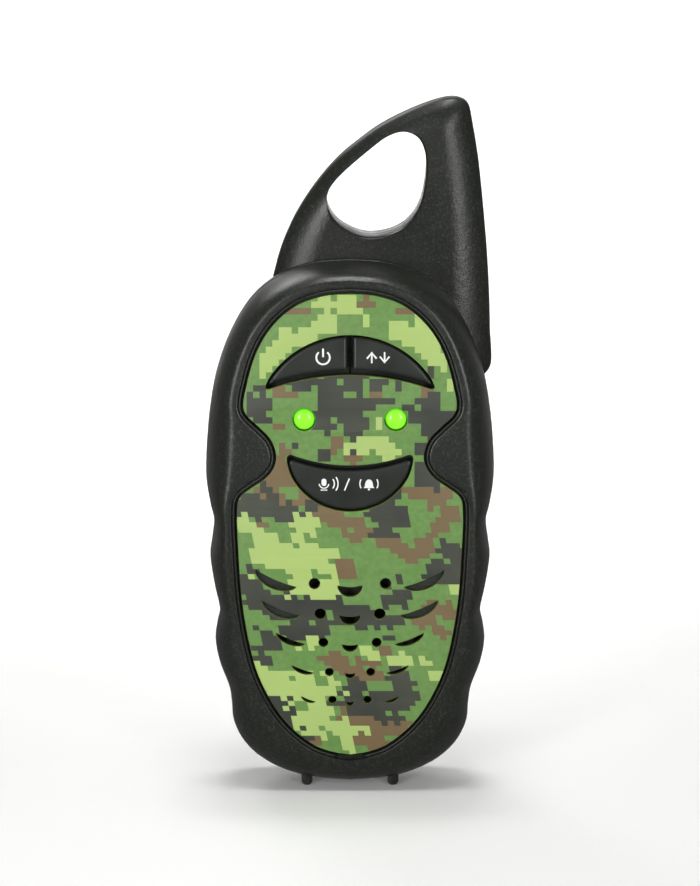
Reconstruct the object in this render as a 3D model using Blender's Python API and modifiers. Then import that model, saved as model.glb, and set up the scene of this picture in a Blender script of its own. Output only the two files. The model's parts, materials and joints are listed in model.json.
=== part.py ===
"""Toy walkie talkie: two housing halves, an antenna fin with a carry loop, keys, speaker and battery bay.

X is to the right, Z is up and the keys face -Y. The origin is on the ground under the middle of the box
around the whole object. Lengths are in millimetres, and MM turns them into metres.
"""

import math

import bmesh
import bpy
from mathutils import Matrix, Vector

MM = 0.001
GAP = 0.3
WALL = 1.8

# The middle of the object's depth lies this far behind the plane where the two housing halves meet.
DEPTH_MIDDLE = 2.1

# Housing halves
FRONT_DEPTH = 17.4
BACK_DEPTH = 14.0
FRONT_ROUND = 6.8
BACK_ROUND = 8.0
FIN_ROOT_ROUND = 1.2
FRONT_ROUNDNESS = 2.2
BACK_ROUNDNESS = 2.8
RING_POINTS = 64
EDGE_STEPS = 4
FACE_RADIUS = 500.0
FACE_APEX_Z = 79.0
FACE_PROUD = 0.4

# Face plate
PLATE_THICKNESS = 1.5
PLATE_SEAT = PLATE_THICKNESS + GAP
FLOOR_THICKNESS = 1.6
PLATE_LEVELS = [20, 32, 44, 56, 68, 80, 92, 104, 115]

# Keys
KEY_CLEARANCE = 0.5
KEY_RECESS = 0.4
KEY_DIVIDER = 1.4
FLANGE_THICKNESS = 1.1
FLANGE_LIP = 1.0
BROW_FLANGE_FRONT = -11.85
TALK_FLANGE_FRONT = -13.2
LED_X = 11.1
LED_Z = 94.5
LED_RADIUS = 2.5

# Board and what stands on it
BOARD_FRONT = -8.7
BOARD_THICKNESS = 1.2
BOARD_BACK = BOARD_FRONT + BOARD_THICKNESS

# Speaker
SPEAKER_Z = 41.5
SPEAKER_FRONT = -11.4
SPEAKER_RADIUS = 16.0
SPEAKER_TILT = math.radians(4.3)

# Battery bay
CELL_RADIUS = 5.25
CELL_LENGTH = 44.5
CELL_SPACING = 11.2
CELL_Y = 5.6
BAY_HALF_WIDTH = 17.2
BAY_BOTTOM = 13.5
BAY_TOP = 65.5
BAY_FRONT = -0.3
CONTACT_HALF_WIDTH = 4.6
CONTACT_THICKNESS = 0.3
COVER_HALF_WIDTH = 18.6
COVER_BOTTOM = 12.3
COVER_TOP = 73.3
COVER_THICKNESS = 1.8
COVER_CORNER = 3.5
COVER_HINGE = (0.0, 14.2, 12.2)
COVER_SCREW_Z = 69.4
COVER_HEAD_SEAT_Y = 12.8

# Antenna fin
FIN_MIDDLE_Y = 8.0
FIN_HALF_DEPTH = 6.0
FIN_EDGE_HALF_DEPTH = 1.5
FIN_CREASE_ANGLE = math.radians(55)
COIL_TURNS = 8

# Fasteners and feet
POST_PLACES = [(27.0, 98.0, -14.2), (24.3, 24.0, -11.2)]
POST_RADIUS = 2.7
SCREW_HOLE_RADIUS = 1.4
HEAD_RADIUS = 2.2
HEAD_SEAT_Y = 5.7
FIN_SCREW_PLACES = [(-10.5, 134.5), (22.6, 162.6)]
FIN_HEAD_SEAT_Y = 11.6
FOOT_X = 10.65
FOOT_PLACES = {"front": -5.0, "rear": 8.0}
FOOT_RADIUS = 1.38

# Belt clip
CLIP_PIN_Y = 17.5
CLIP_PIN_Z = 112.0
CLIP_HALF_WIDTH = 7.2
CLIP_PAD_Y = 20.7
CLIP_THICKNESS = 1.8
CLIP_BOTTOM = 79.0
CLIP_TOP = 119.0
CLIP_PIN_RADIUS = 1.0

# Right half of each outline, from the top of the middle line to its bottom, as (x, z)
BODY_HALF = [
    (0, 131.0), (8, 130.4), (14.6, 128.4), (20.9, 124.6), (25.7, 119.4), (29.9, 111.6), (32.8, 103.0),
    (34.3, 94.5), (35.1, 86.0), (35.3, 78.0), (34.4, 71.8), (33.4, 67.2), (34.0, 61.5), (34.4, 57.8),
    (33.4, 51.0), (32.1, 44.5), (32.9, 39.8), (33.2, 36.2), (32.2, 31.0), (30.0, 25.0), (29.3, 20.5),
    (28.9, 16.0), (26.8, 11.3), (23.0, 7.2), (17.3, 3.8), (10.0, 1.6), (0, 0.8),
]
PLATE_HALF = [
    (0, 124.5), (6.0, 124.0), (12.0, 122.1), (16.8, 118.8), (20.6, 114.3), (23.3, 109.0), (25.0, 102.8),
    (25.8, 98.2), (25.0, 95.6), (22.0, 92.7), (19.2, 89.7), (17.9, 86.0), (18.4, 82.8), (20.6, 80.0),
    (24.2, 77.5), (26.8, 75.2), (27.4, 71.5), (27.2, 63.0), (26.2, 48.4), (23.7, 34.4), (20.2, 25.2),
    (15.6, 18.0), (9.6, 12.6), (4.6, 10.4), (0, 9.6),
]

# Edge of the antenna fin, each point with the point of the flat face that its rounded flank runs in to
FIN_PAIRS = [
    ((-19.0, 122.5), (-12.0, 122.5)), ((-18.2, 128.3), (-11.0, 129.0)), ((-15.9, 135.5), (-9.0, 135.5)),
    ((-12.4, 142.7), (-6.6, 141.2)), ((-7.5, 149.9), (-3.2, 147.2)), ((-2.6, 155.4), (0.8, 152.2)),
    ((1.8, 159.1), (4.6, 155.6)), ((7.0, 162.9), (8.8, 158.9)), ((13.0, 166.1), (14.4, 161.9)),
    ((18.5, 168.4), (19.0, 163.6)), ((23.3, 169.8), (22.0, 164.4)), ((26.6, 169.7), (23.7, 163.8)),
    ((28.9, 168.0), (24.4, 162.3)), ((30.0, 163.0), (24.6, 159.5)), ((31.3, 155.0), (25.3, 153.5)),
    ((32.4, 145.0), (26.4, 144.0)), ((33.4, 134.0), (26.9, 133.0)), ((34.1, 123.0), (27.0, 123.0)),
    ((34.4, 113.0), (27.0, 114.0)), ((34.3, 103.0), (26.6, 107.0)), ((28.0, 101.0), (23.0, 106.0)),
    ((12.0, 108.0), (12.0, 111.0)), ((-6.0, 112.0), (-3.0, 115.0)), ((-16.0, 116.0), (-10.0, 118.0)),
]
LOOP_EDGE = [
    (13.2, 161.9), (16.6, 160.4), (18.3, 156.5), (18.4, 150.5), (17.0, 143.8), (13.6, 138.9), (8.6, 136.5),
    (3.0, 136.3), (-2.6, 139.0), (-5.4, 143.2), (-5.2, 147.4), (-2.0, 151.6), (4.6, 157.4), (9.2, 160.8),
]

# Speaker slots, row by row: round hole x, z and radius, smile half width, top and drop, then the outer
# slot's two tips and drop
GRILLE_ROWS = [
    ((8.65, 53.8, 1.38), (3.05, 53.3, 2.9), ((23.0, 57.3), (13.1, 52.9), 2.5)),
    ((7.25, 46.1, 1.40), (2.60, 45.7, 2.4), ((21.4, 49.5), (12.2, 45.7), 2.2)),
    ((6.50, 38.8, 1.18), (1.95, 38.3, 1.9), ((18.0, 41.2), (11.0, 38.4), 1.5)),
    ((5.05, 31.2, 1.05), (1.30, 30.9, 1.4), ((14.2, 32.9), (8.9, 31.0), 1.1)),
    ((4.30, 24.0, 1.00), (0.95, 23.5, 1.2), ((11.9, 24.9), (8.5, 23.5), 0.8)),
]


# ---------------------------------------------------------------- scene and materials

def clear_scene():
    for obj in list(bpy.data.objects):
        bpy.data.objects.remove(obj, do_unlink=True)


def new_collection(name):
    collection = bpy.data.collections.new(name)
    bpy.context.scene.collection.children.link(collection)
    return collection


def new_material(name, colour, roughness, metallic=0.0):
    material = bpy.data.materials.new(name)
    material.use_nodes = True
    shader = material.node_tree.nodes["Principled BSDF"]
    shader.inputs["Base Color"].default_value = (*colour, 1.0)
    shader.inputs["Roughness"].default_value = roughness
    shader.inputs["Metallic"].default_value = metallic
    return material


clear_scene()
PARTS = new_collection("toy_walkie_talkie")
CUTTERS = new_collection("cutters")

BLACK_PLASTIC = new_material("black_plastic", (0.020, 0.022, 0.022), 0.55)
CAMO_PLASTIC = new_material("camo_plastic", (0.21, 0.33, 0.12), 0.45)
KEY_PLASTIC = new_material("key_plastic", (0.035, 0.038, 0.038), 0.45)
GREEN_LENS = new_material("green_lens", (0.25, 0.95, 0.06), 0.20)
BOARD_GREEN = new_material("board_green", (0.02, 0.16, 0.06), 0.40)
TIN_STEEL = new_material("tin_steel", (0.62, 0.62, 0.60), 0.30, 1.0)
COPPER_WIRE = new_material("copper_wire", (0.70, 0.33, 0.16), 0.30, 1.0)
GREY_RUBBER = new_material("grey_rubber", (0.30, 0.31, 0.31), 0.75)
PAPER_CONE = new_material("paper_cone", (0.05, 0.05, 0.05), 0.90)
CELL_WRAP = new_material("cell_wrap", (0.05, 0.09, 0.16), 0.35)
CHIP_BLACK = new_material("chip_black", (0.015, 0.015, 0.016), 0.50)
RED_WIRE = new_material("red_wire", (0.55, 0.02, 0.02), 0.45)


# ---------------------------------------------------------------- outlines, as lists of (x, z)

def smooth_curve(points, per_span, closed=False):
    """Points along a Catmull-Rom curve through the given ones."""
    count = len(points)
    vectors = [Vector(point) for point in points]
    spans = count if closed else count - 1
    curve = []
    for span in range(spans):
        if closed:
            a, b, c, d = (vectors[(span + step) % count] for step in (-1, 0, 1, 2))
        else:
            b, c = vectors[span], vectors[span + 1]
            a = vectors[span - 1] if span else b + (b - c)
            d = vectors[span + 2] if span + 2 < count else c + (c - b)
        for step in range(per_span):
            t = step / per_span
            middle = (c - a) * t + (2 * a - 5 * b + 4 * c - d) * t**2 + (3 * b - a - 3 * c + d) * t**3
            curve.append(b + middle / 2)
    if not closed:
        curve.append(vectors[-1])
    return curve


def even_spacing(curve, count):
    """The open curve again, with count points at equal distances along it."""
    lengths = [0.0]
    for here, there in zip(curve, curve[1:]):
        lengths.append(lengths[-1] + (there - here).length)
    points = []
    span = 0
    for index in range(count):
        target = lengths[-1] * index / (count - 1)
        while span < len(curve) - 2 and lengths[span + 1] < target:
            span += 1
        part = (target - lengths[span]) / (lengths[span + 1] - lengths[span])
        points.append(curve[span].lerp(curve[span + 1], min(max(part, 0.0), 1.0)))
    return points


def whole_outline(half, count):
    """A closed outline with count points from its right half, clockwise from the top."""
    right = even_spacing(smooth_curve(half, 8), count // 2 + 1)
    left = [Vector((-point.x, point.y)) for point in reversed(right[1:-1])]
    return right + left


def outward_normals(outline):
    normals = []
    for index, point in enumerate(outline):
        along = outline[(index + 1) % len(outline)] - outline[index - 1]
        normals.append(Vector((-along.y, along.x)).normalized())
    return normals


def offset_outline(outline, distance):
    """The clockwise outline moved outwards by a distance, or a distance for each point."""
    if not isinstance(distance, list):
        distance = [distance] * len(outline)
    normals = outward_normals(outline)
    return [point + normal * by for point, normal, by in zip(outline, normals, distance)]


def relaxed(outline, rounds):
    """The outline with its waves evened out."""
    for _ in range(rounds):
        before = outline
        outline = [
            (before[index - 1] + before[index] * 2 + before[(index + 1) % len(before)]) / 4
            for index in range(len(before))
        ]
    return outline


def circle_outline(x, z, radius, count):
    turns = [2 * math.pi * index / count for index in range(count)]
    return [Vector((x + radius * math.sin(turn), z + radius * math.cos(turn))) for turn in turns]


def box_outline(x_low, z_low, x_high, z_high, corner=0.0, steps=4):
    """A clockwise rectangle, with rounded corners where corner is over zero."""
    if corner <= 0:
        return [Vector(p) for p in ((x_low, z_high), (x_high, z_high), (x_high, z_low), (x_low, z_low))]
    centres = [
        (x_high - corner, z_high - corner), (x_high - corner, z_low + corner),
        (x_low + corner, z_low + corner), (x_low + corner, z_high - corner),
    ]
    points = []
    for quarter, (x, z) in enumerate(centres):
        for step in range(steps + 1):
            turn = math.pi / 2 * (quarter + step / steps)
            points.append(Vector((x + corner * math.sin(turn), z + corner * math.cos(turn))))
    return points


def segment_outline(tip_a, tip_b, drop, grow=0.0, steps=6):
    """A slot with a nearly straight upper edge and a lower edge that bows down by drop."""
    a, b = Vector(tip_a), Vector(tip_b)
    if a.x > b.x:
        a, b = b, a
    along = (b - a).normalized()
    down = Vector((along.y, -along.x))
    a = a - along * grow
    b = b + along * grow
    points = []
    for step in range(steps + 1):
        t = step / steps
        points.append(a.lerp(b, t) + down * (0.15 * drop * math.sin(math.pi * t) - grow * (0 < t < 1)))
    for step in range(1, steps):
        t = 1 - step / steps
        points.append(a.lerp(b, t) + down * ((drop + grow) * math.sin(math.pi * t) ** 0.8))
    return points


def grille_outlines(grow=0.0, with_top_outer=True, steps=5, sides=10):
    outlines = []
    for row, (hole, smile, slot) in enumerate(GRILLE_ROWS):
        half_width, top, drop = smile
        outlines.append(segment_outline((-half_width, top), (half_width, top), drop, grow, steps))
        for side in (-1, 1):
            outlines.append(circle_outline(side * hole[0], hole[1], hole[2] + grow, sides))
            if row or with_top_outer:
                (x_a, z_a), (x_b, z_b), slot_drop = slot
                outlines.append(segment_outline((side * x_a, z_a), (side * x_b, z_b), slot_drop, grow, steps))
    return outlines


def sagging(x, top, radius):
    """Height of an arc that falls away from its middle."""
    return top - radius + math.sqrt(radius**2 - x**2)


def brow_outline(grow, x_from=-20.4, x_to=20.4, steps=16):
    """The crescent of the two upper keys, between two arcs."""
    upper, lower = [], []
    for step in range(steps + 1):
        x = x_from + (x_to - x_from) * step / steps
        reach = min(abs(x) / (20.4 + grow), 1.0)
        high = sagging(x, 115.1 + grow, 23.5 + grow)
        low = sagging(x, 105.3 - grow, 58.0 - grow)
        # The tip closes in a small round end.
        end = max(0.0, (reach - 0.9) / 0.1)
        middle = (high + low) / 2
        squeeze = math.sqrt(max(0.0, 1 - end**2))
        upper.append(Vector((x, middle + (high - middle) * squeeze)))
        lower.append(Vector((x, middle + (low - middle) * squeeze)))
    points = upper + lower[::-1]
    return without_doubles(points)


def talk_outline(grow, steps=14):
    """The talk key: a half moon whose upper edge is hollow."""
    half_width = 15.3 + grow
    upper, lower = [], []
    for step in range(steps + 1):
        x = -half_width * math.cos(math.pi * step / steps)
        high = 83.3 + grow + 40.0 - math.sqrt(40.0**2 - x**2)
        low = 87.8 - math.sqrt(max((16.0 + grow) ** 2 - x**2, 0.0))
        end = max(0.0, (abs(x) / half_width - 0.9) / 0.1)
        middle = (high + low) / 2
        squeeze = math.sqrt(max(0.0, 1 - end**2))
        upper.append(Vector((x, middle + (high - middle) * squeeze)))
        lower.append(Vector((x, middle + (low - middle) * squeeze)))
    return without_doubles(upper + lower[::-1])


def without_doubles(points):
    kept = []
    for point in points:
        if all((point - other).length > 0.05 for other in kept[-1:] + kept[:1]):
            kept.append(point)
    return kept


# ---------------------------------------------------------------- solids

def put(name, mesh, material, collection=None, matrix=None):
    obj = bpy.data.objects.new(name, mesh)
    if material:
        mesh.materials.clear()
        mesh.materials.append(material)
    (collection or PARTS).objects.link(obj)
    if matrix is not None:
        obj.matrix_world = matrix
    if collection is CUTTERS:
        obj.hide_render = True
        obj.display_type = "WIRE"
    return obj


def welded_mesh_of(curve_object):
    """A mesh from the curve, with its caps joined on. The curve is removed."""
    bpy.context.view_layer.update()
    graph = bpy.context.evaluated_depsgraph_get()
    mesh = bpy.data.meshes.new_from_object(curve_object.evaluated_get(graph))
    model = bmesh.new()
    model.from_mesh(mesh)
    bmesh.ops.remove_doubles(model, verts=model.verts, dist=0.00001)
    bmesh.ops.recalc_face_normals(model, faces=model.faces)
    model.to_mesh(mesh)
    model.free()
    curve = curve_object.data
    bpy.data.objects.remove(curve_object, do_unlink=True)
    bpy.data.curves.remove(curve)
    return mesh


def flat_piece(name, outlines, thickness, material, collection=None, matrix=None):
    """A flat outline with its holes, thickness deep and centred on its own plane."""
    curve = bpy.data.curves.new(name, "CURVE")
    curve.dimensions = "2D"
    curve.fill_mode = "BOTH"
    curve.extrude = thickness * MM / 2
    for outline in outlines:
        spline = curve.splines.new("POLY")
        spline.points.add(len(outline) - 1)
        for point, place in zip(spline.points, outline):
            point.co = (place.x * MM, place.y * MM, 0.0, 1.0)
        spline.use_cyclic_u = True
    curve_object = bpy.data.objects.new(name + "_outline", curve)
    bpy.context.scene.collection.objects.link(curve_object)
    mesh = welded_mesh_of(curve_object)
    return put(name, mesh, material, collection, matrix)


def facing(front, back, x=0.0, z=0.0):
    """Stands a flat piece up, facing -Y, between two depths."""
    return Matrix.Translation(Vector((x, (front + back) / 2, z)) * MM) @ Matrix.Rotation(math.pi / 2, 4, "X")


def standing_piece(name, outlines, front, back, material, collection=None, origin=(0.0, 0.0)):
    """An outline in x and z made solid from one depth to another, with its origin at a point of it."""
    x, z = origin
    moved = [[point - Vector((x, z)) for point in outline] for outline in outlines]
    return flat_piece(name, moved, back - front, material, collection, facing(front, back, x, z))


def cutter(name, outlines, front, back):
    return standing_piece(name, outlines, front, back, None, CUTTERS)


def boolean(obj, other, operation="DIFFERENCE"):
    modifier = obj.modifiers.new(other.name, "BOOLEAN")
    modifier.operation = operation
    modifier.object = other
    modifier.solver = "EXACT"


def box(name, low, high, material, collection=None):
    """A box between two corners."""
    mesh = bpy.data.meshes.new(name)
    model = bmesh.new()
    bmesh.ops.create_cube(model, size=1.0)
    size = Vector(high) - Vector(low)
    bmesh.ops.scale(model, vec=size * MM, verts=model.verts)
    model.to_mesh(mesh)
    model.free()
    centre = (Vector(low) + Vector(high)) / 2 * MM
    return put(name, mesh, material, collection, Matrix.Translation(centre))


def cylinder(name, start, end, radius, material, collection=None, sides=14):
    """A cylinder from one point to another."""
    mesh = bpy.data.meshes.new(name)
    model = bmesh.new()
    axis = (Vector(end) - Vector(start)) * MM
    bmesh.ops.create_cone(
        model, cap_ends=True, segments=sides, radius1=radius * MM, radius2=radius * MM, depth=axis.length
    )
    model.to_mesh(mesh)
    model.free()
    turn = axis.to_track_quat("Z", "Y").to_matrix().to_4x4()
    centre = (Vector(start) + Vector(end)) / 2 * MM
    obj = put(name, mesh, material, collection, Matrix.Translation(centre) @ turn)
    smooth(obj)
    return obj


def turned(name, profile, material, matrix, sides=20, collection=None):
    """A profile of (radius, height), top to bottom, turned about its own Z."""
    mesh = bpy.data.meshes.new(name)
    edges = [(index, index + 1) for index in range(len(profile) - 1)]
    mesh.from_pydata([(radius * MM, 0.0, height * MM) for radius, height in profile], edges, [])
    obj = put(name, mesh, material, collection, matrix)
    screw = obj.modifiers.new("turn", "SCREW")
    screw.steps = sides
    screw.render_steps = sides
    screw.use_merge_vertices = True
    screw.merge_threshold = 0.00005
    screw.use_smooth_shade = True
    return obj


def axis_to(direction, x, y, z):
    """A place whose own Z points along a world direction."""
    turn = Vector(direction).to_track_quat("Z", "Y").to_matrix().to_4x4()
    return Matrix.Translation(Vector((x, y, z)) * MM) @ turn


def wire(name, points, radius, material, matrix=None):
    """A round wire through the points, as given."""
    curve = bpy.data.curves.new(name, "CURVE")
    curve.dimensions = "3D"
    curve.bevel_depth = radius * MM
    curve.bevel_resolution = 2
    curve.use_fill_caps = True
    spline = curve.splines.new("POLY")
    spline.points.add(len(points) - 1)
    for point, place in zip(spline.points, points):
        point.co = (*(Vector(place) * MM), 1.0)
    obj = bpy.data.objects.new(name, curve)
    curve.materials.append(material)
    PARTS.objects.link(obj)
    if matrix is not None:
        obj.matrix_world = matrix
    return obj


def smooth(obj):
    obj.data.shade_smooth()
    obj.data.set_sharp_from_angle(angle=math.radians(35))


def face_drop(z):
    """How far the curved front lies behind its foremost line at a height."""
    return FACE_RADIUS - math.sqrt(FACE_RADIUS**2 - (z - FACE_APEX_Z) ** 2)


def face_y(z):
    return -(FRONT_DEPTH - FACE_PROUD) + face_drop(z)


def bend_to_face(obj, origin_z=0.0):
    """Curves a standing piece as the front is curved. In the piece's own axes y is up and z is forwards."""
    model = bmesh.new()
    model.from_mesh(obj.data)
    for level in PLATE_LEVELS:
        bmesh.ops.bisect_plane(
            model,
            geom=model.verts[:] + model.edges[:] + model.faces[:],
            plane_co=(0.0, (level - origin_z) * MM, 0.0),
            plane_no=(0.0, 1.0, 0.0),
            dist=0.000001,
        )
    for vert in model.verts:
        vert.co.z -= face_drop(vert.co.y / MM + origin_z) * MM
    model.to_mesh(obj.data)
    model.free()


def loft(rings):
    """A closed solid through rings of (x, y, z), whose two end rings are filled straight across."""
    model = bmesh.new()
    rows = [[model.verts.new(Vector(point) * MM) for point in ring] for ring in rings]
    count = len(rings[0])
    for row, next_row in zip(rows, rows[1:]):
        for index in range(count):
            after = (index + 1) % count
            model.faces.new((row[index], row[after], next_row[after], next_row[index]))
    for row in (rows[0], rows[-1]):
        for index in range(count // 2):
            corners = [row[index], row[index + 1], row[-index - 1], row[-index % count]]
            model.faces.new(list(dict.fromkeys(corners)))
    bmesh.ops.recalc_face_normals(model, faces=model.faces)
    mesh = bpy.data.meshes.new("loft")
    model.to_mesh(mesh)
    model.free()
    return mesh


def edge_profile(roundness, steps):
    """(how far in, how deep) from 0 to 1 along a rounded edge."""
    turns = [math.pi / 2 * step / steps for step in range(steps + 1)]
    return [(1 - math.cos(t) ** (2 / roundness), math.sin(t) ** (2 / roundness)) for t in turns]


def shell(name, outline, core, roundness, outer_depth, inner_depth, side):
    """Half a housing: an outer and an inner skin, joined by the flat lip where the halves meet.

    outer_depth and inner_depth give the depth under a height z, and side is -1 for the front, 1 for the back.
    """
    lip = GAP / 2
    outer, inner = [], []
    for inwards, deep in edge_profile(roundness, EDGE_STEPS):
        ring = [point.lerp(middle, inwards) for point, middle in zip(outline, core)]
        inner_ring = offset_outline(ring, -WALL)
        outer.append([(p.x, side * (lip + deep * (outer_depth(p.y) - lip)), p.y) for p in ring])
        inner.append([(p.x, side * (lip + deep * (inner_depth(p.y) - lip)), p.y) for p in inner_ring])
    return put(name, loft(outer[::-1] + inner), BLACK_PLASTIC)


# ---------------------------------------------------------------- housings and face plate

def smooth_step(value):
    value = min(max(value, 0.0), 1.0)
    return value * value * (3 - 2 * value)


def back_rounding(point):
    """The back is rounded off, except along the root of the fin, where it runs straight on into the fin."""
    root = smooth_step((point.x + 19) / 9) * smooth_step((point.y - 101) / 16)
    return BACK_ROUND + (FIN_ROOT_ROUND - BACK_ROUND) * root


def make_front_housing():
    outline = whole_outline(BODY_HALF, RING_POINTS)
    core = offset_outline(relaxed(outline, 6), -FRONT_ROUND)

    def outer_depth(z):
        return FACE_PROUD - face_y(z)

    def inner_depth(z):
        return -face_y(z) - PLATE_SEAT - FLOOR_THICKNESS

    housing = shell("front_housing", outline, core, FRONT_ROUNDNESS, outer_depth, inner_depth, -1)
    for side in (-1, 1):
        for x, z, front in POST_PLACES:
            post = cylinder("front_post", (side * x, front, z), (side * x, -1.5, z), POST_RADIUS, None, CUTTERS)
            boolean(housing, post, "UNION")
    seat = cutter("plate_seat", [offset_outline(whole_outline(PLATE_HALF, RING_POINTS), GAP)], -27.0, -15.2)
    bend_to_face(seat)
    boolean(housing, seat)
    windows = [brow_outline(KEY_CLEARANCE), talk_outline(KEY_CLEARANCE)]
    windows += [circle_outline(side * LED_X, LED_Z, LED_RADIUS + 0.7, 14) for side in (-1, 1)]
    windows += grille_outlines(0.25, with_top_outer=False, steps=3, sides=8)
    boolean(housing, cutter("floor_windows", windows, -22.0, -9.0))
    boolean(housing, box("pry_notch", (-3.8, -18.0, 8.3), (3.8, -11.4, 10.4), None, CUTTERS))
    for side in (-1, 1):
        for x, z, front in POST_PLACES:
            low, high = (side * x, front + 1.2, z), (side * x, 2.0, z)
            boolean(housing, cylinder("front_screw_hole", low, high, SCREW_HOLE_RADIUS, None, CUTTERS, 12))
        cut_foot_socket(housing, side * FOOT_X, FOOT_PLACES["front"])
    smooth(housing)


def cover_outline():
    return box_outline(-COVER_HALF_WIDTH, COVER_BOTTOM, COVER_HALF_WIDTH, COVER_TOP, COVER_CORNER)


def cut_foot_socket(housing, x, y):
    """A hole for a foot's stem, wider inside for its collar."""
    boolean(housing, cylinder("foot_hole", (x, y, -2.0), (x, y, 7.5), FOOT_RADIUS + GAP, None, CUTTERS, 12))
    boolean(housing, cylinder("collar_room", (x, y, 5.1), (x, y, 9.0), 2.7, None, CUTTERS, 12))


def make_face_plate():
    outlines = [whole_outline(PLATE_HALF, RING_POINTS), brow_outline(0.0), talk_outline(0.0)]
    outlines += [circle_outline(side * LED_X, LED_Z, LED_RADIUS + GAP, 14) for side in (-1, 1)]
    outlines += grille_outlines()
    plate = standing_piece("face_plate", outlines, -17.0, -17.0 + PLATE_THICKNESS, CAMO_PLASTIC)
    bend_to_face(plate)
    smooth(plate)


def make_rear_housing():
    outline = whole_outline(BODY_HALF, RING_POINTS)
    even = relaxed(outline, 6)
    core = offset_outline(even, [-back_rounding(point) for point in outline])
    housing = shell(
        "rear_housing", outline, core, BACK_ROUNDNESS, lambda z: BACK_DEPTH, lambda z: BACK_DEPTH - WALL, 1
    )
    boolean(housing, box("battery_tray", (-18.9, -1.8, 11.9), (18.9, 13.2, 74.3), None, CUTTERS), "UNION")
    for side in (-1, 1):
        for x, z, _ in POST_PLACES:
            post = cylinder("rear_post", (side * x, 0.4, z), (side * x, 9.0, z), POST_RADIUS + 0.9, None, CUTTERS)
            boolean(housing, post, "UNION")
        low = (side * 9.0 - 1.4, 12.9, CLIP_PIN_Z - 4.5)
        high = (side * 9.0 + 1.4, 19.6, CLIP_PIN_Z + 3.5)
        boolean(housing, box("clip_lug", low, high, None, CUTTERS), "UNION")
    low, high = (-BAY_HALF_WIDTH, BAY_FRONT, BAY_BOTTOM), (BAY_HALF_WIDTH, 15.0, BAY_TOP)
    boolean(housing, box("battery_bay", low, high, None, CUTTERS))
    seat = offset_outline(cover_outline(), GAP)
    boolean(housing, cutter("cover_seat", [seat], BACK_DEPTH - COVER_THICKNESS - GAP, 16.0))
    for side in (-1, 1):
        slot = box("hook_slot", (side * 10.0 - 3.3, 9.6, 9.4), (side * 10.0 + 3.3, 12.5, 14.0), None, CUTTERS)
        boolean(housing, slot)
    for x, z in ((CELL_SPACING, BAY_TOP - 0.9), (-CELL_SPACING, BAY_BOTTOM + 0.5)):
        low, high = (x - 1.6, -3.0, z - 0.5), (x + 1.6, 0.5, z + 0.5)
        boolean(housing, box("contact_slot", low, high, None, CUTTERS))
    for side in (-1, 1):
        for x, z, _ in POST_PLACES:
            low, seat, high = (side * x, -2.0, z), (side * x, HEAD_SEAT_Y, z), (side * x, 20.0, z)
            boolean(housing, cylinder("head_recess", seat, high, HEAD_RADIUS + 0.4, None, CUTTERS))
            boolean(housing, cylinder("rear_screw_hole", low, high, SCREW_HOLE_RADIUS + 0.1, None, CUTTERS, 12))
        cut_foot_socket(housing, side * FOOT_X, FOOT_PLACES["rear"])
    low, high = (0, 4.0, COVER_SCREW_Z), (0, 16.0, COVER_SCREW_Z)
    boolean(housing, cylinder("cover_screw_hole", low, high, 1.9, None, CUTTERS, 12))
    low, high = (-14.0, CLIP_PIN_Y, CLIP_PIN_Z), (14.0, CLIP_PIN_Y, CLIP_PIN_Z)
    boolean(housing, cylinder("clip_pin_hole", low, high, CLIP_PIN_RADIUS + GAP, None, CUTTERS, 12))
    boolean(housing, box("antenna_slot", (21.5, 3.8, 108.0), (30.5, 11.9, 127.0), None, CUTTERS))
    boolean(housing, box("tongue_slot", (0.5, 3.9, 120.0), (14.5, 9.1, 134.0), None, CUTTERS))
    smooth(housing)


# ---------------------------------------------------------------- antenna fin

def fin_rings(side):
    """Rings of one half of the fin, from the parting plane out to its flat face."""
    edge = smooth_curve([pair[0] for pair in FIN_PAIRS], 2, closed=True)
    face = smooth_curve([pair[1] for pair in FIN_PAIRS], 2, closed=True)
    parting = FIN_MIDDLE_Y + side * GAP / 2
    rings = [[(p.x, parting, p.y) for p in edge]]
    for step in range(5):
        turn = FIN_CREASE_ANGLE * step / 4
        inwards = (1 - math.cos(turn)) / (1 - math.cos(FIN_CREASE_ANGLE))
        rise = math.sin(turn) / math.sin(FIN_CREASE_ANGLE)
        half_depth = FIN_EDGE_HALF_DEPTH + (FIN_HALF_DEPTH - FIN_EDGE_HALF_DEPTH) * rise
        ring = [outer.lerp(inner, inwards) for outer, inner in zip(edge, face)]
        rings.append([(p.x, FIN_MIDDLE_Y + side * half_depth, p.y) for p in ring])
    return rings


def fin_mesh(side):
    """One half of the fin, with its two flat ends filled as single faces."""
    model = bmesh.new()
    rows = [[model.verts.new(Vector(point) * MM) for point in ring] for ring in fin_rings(side)]
    count = len(rows[0])
    for row, next_row in zip(rows, rows[1:]):
        for index in range(count):
            after = (index + 1) % count
            model.faces.new((row[index], row[after], next_row[after], next_row[index]))
    model.faces.new(rows[0])
    model.faces.new(rows[-1])
    bmesh.ops.recalc_face_normals(model, faces=model.faces)
    mesh = bpy.data.meshes.new("fin_half")
    model.to_mesh(mesh)
    model.free()
    return mesh


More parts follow.
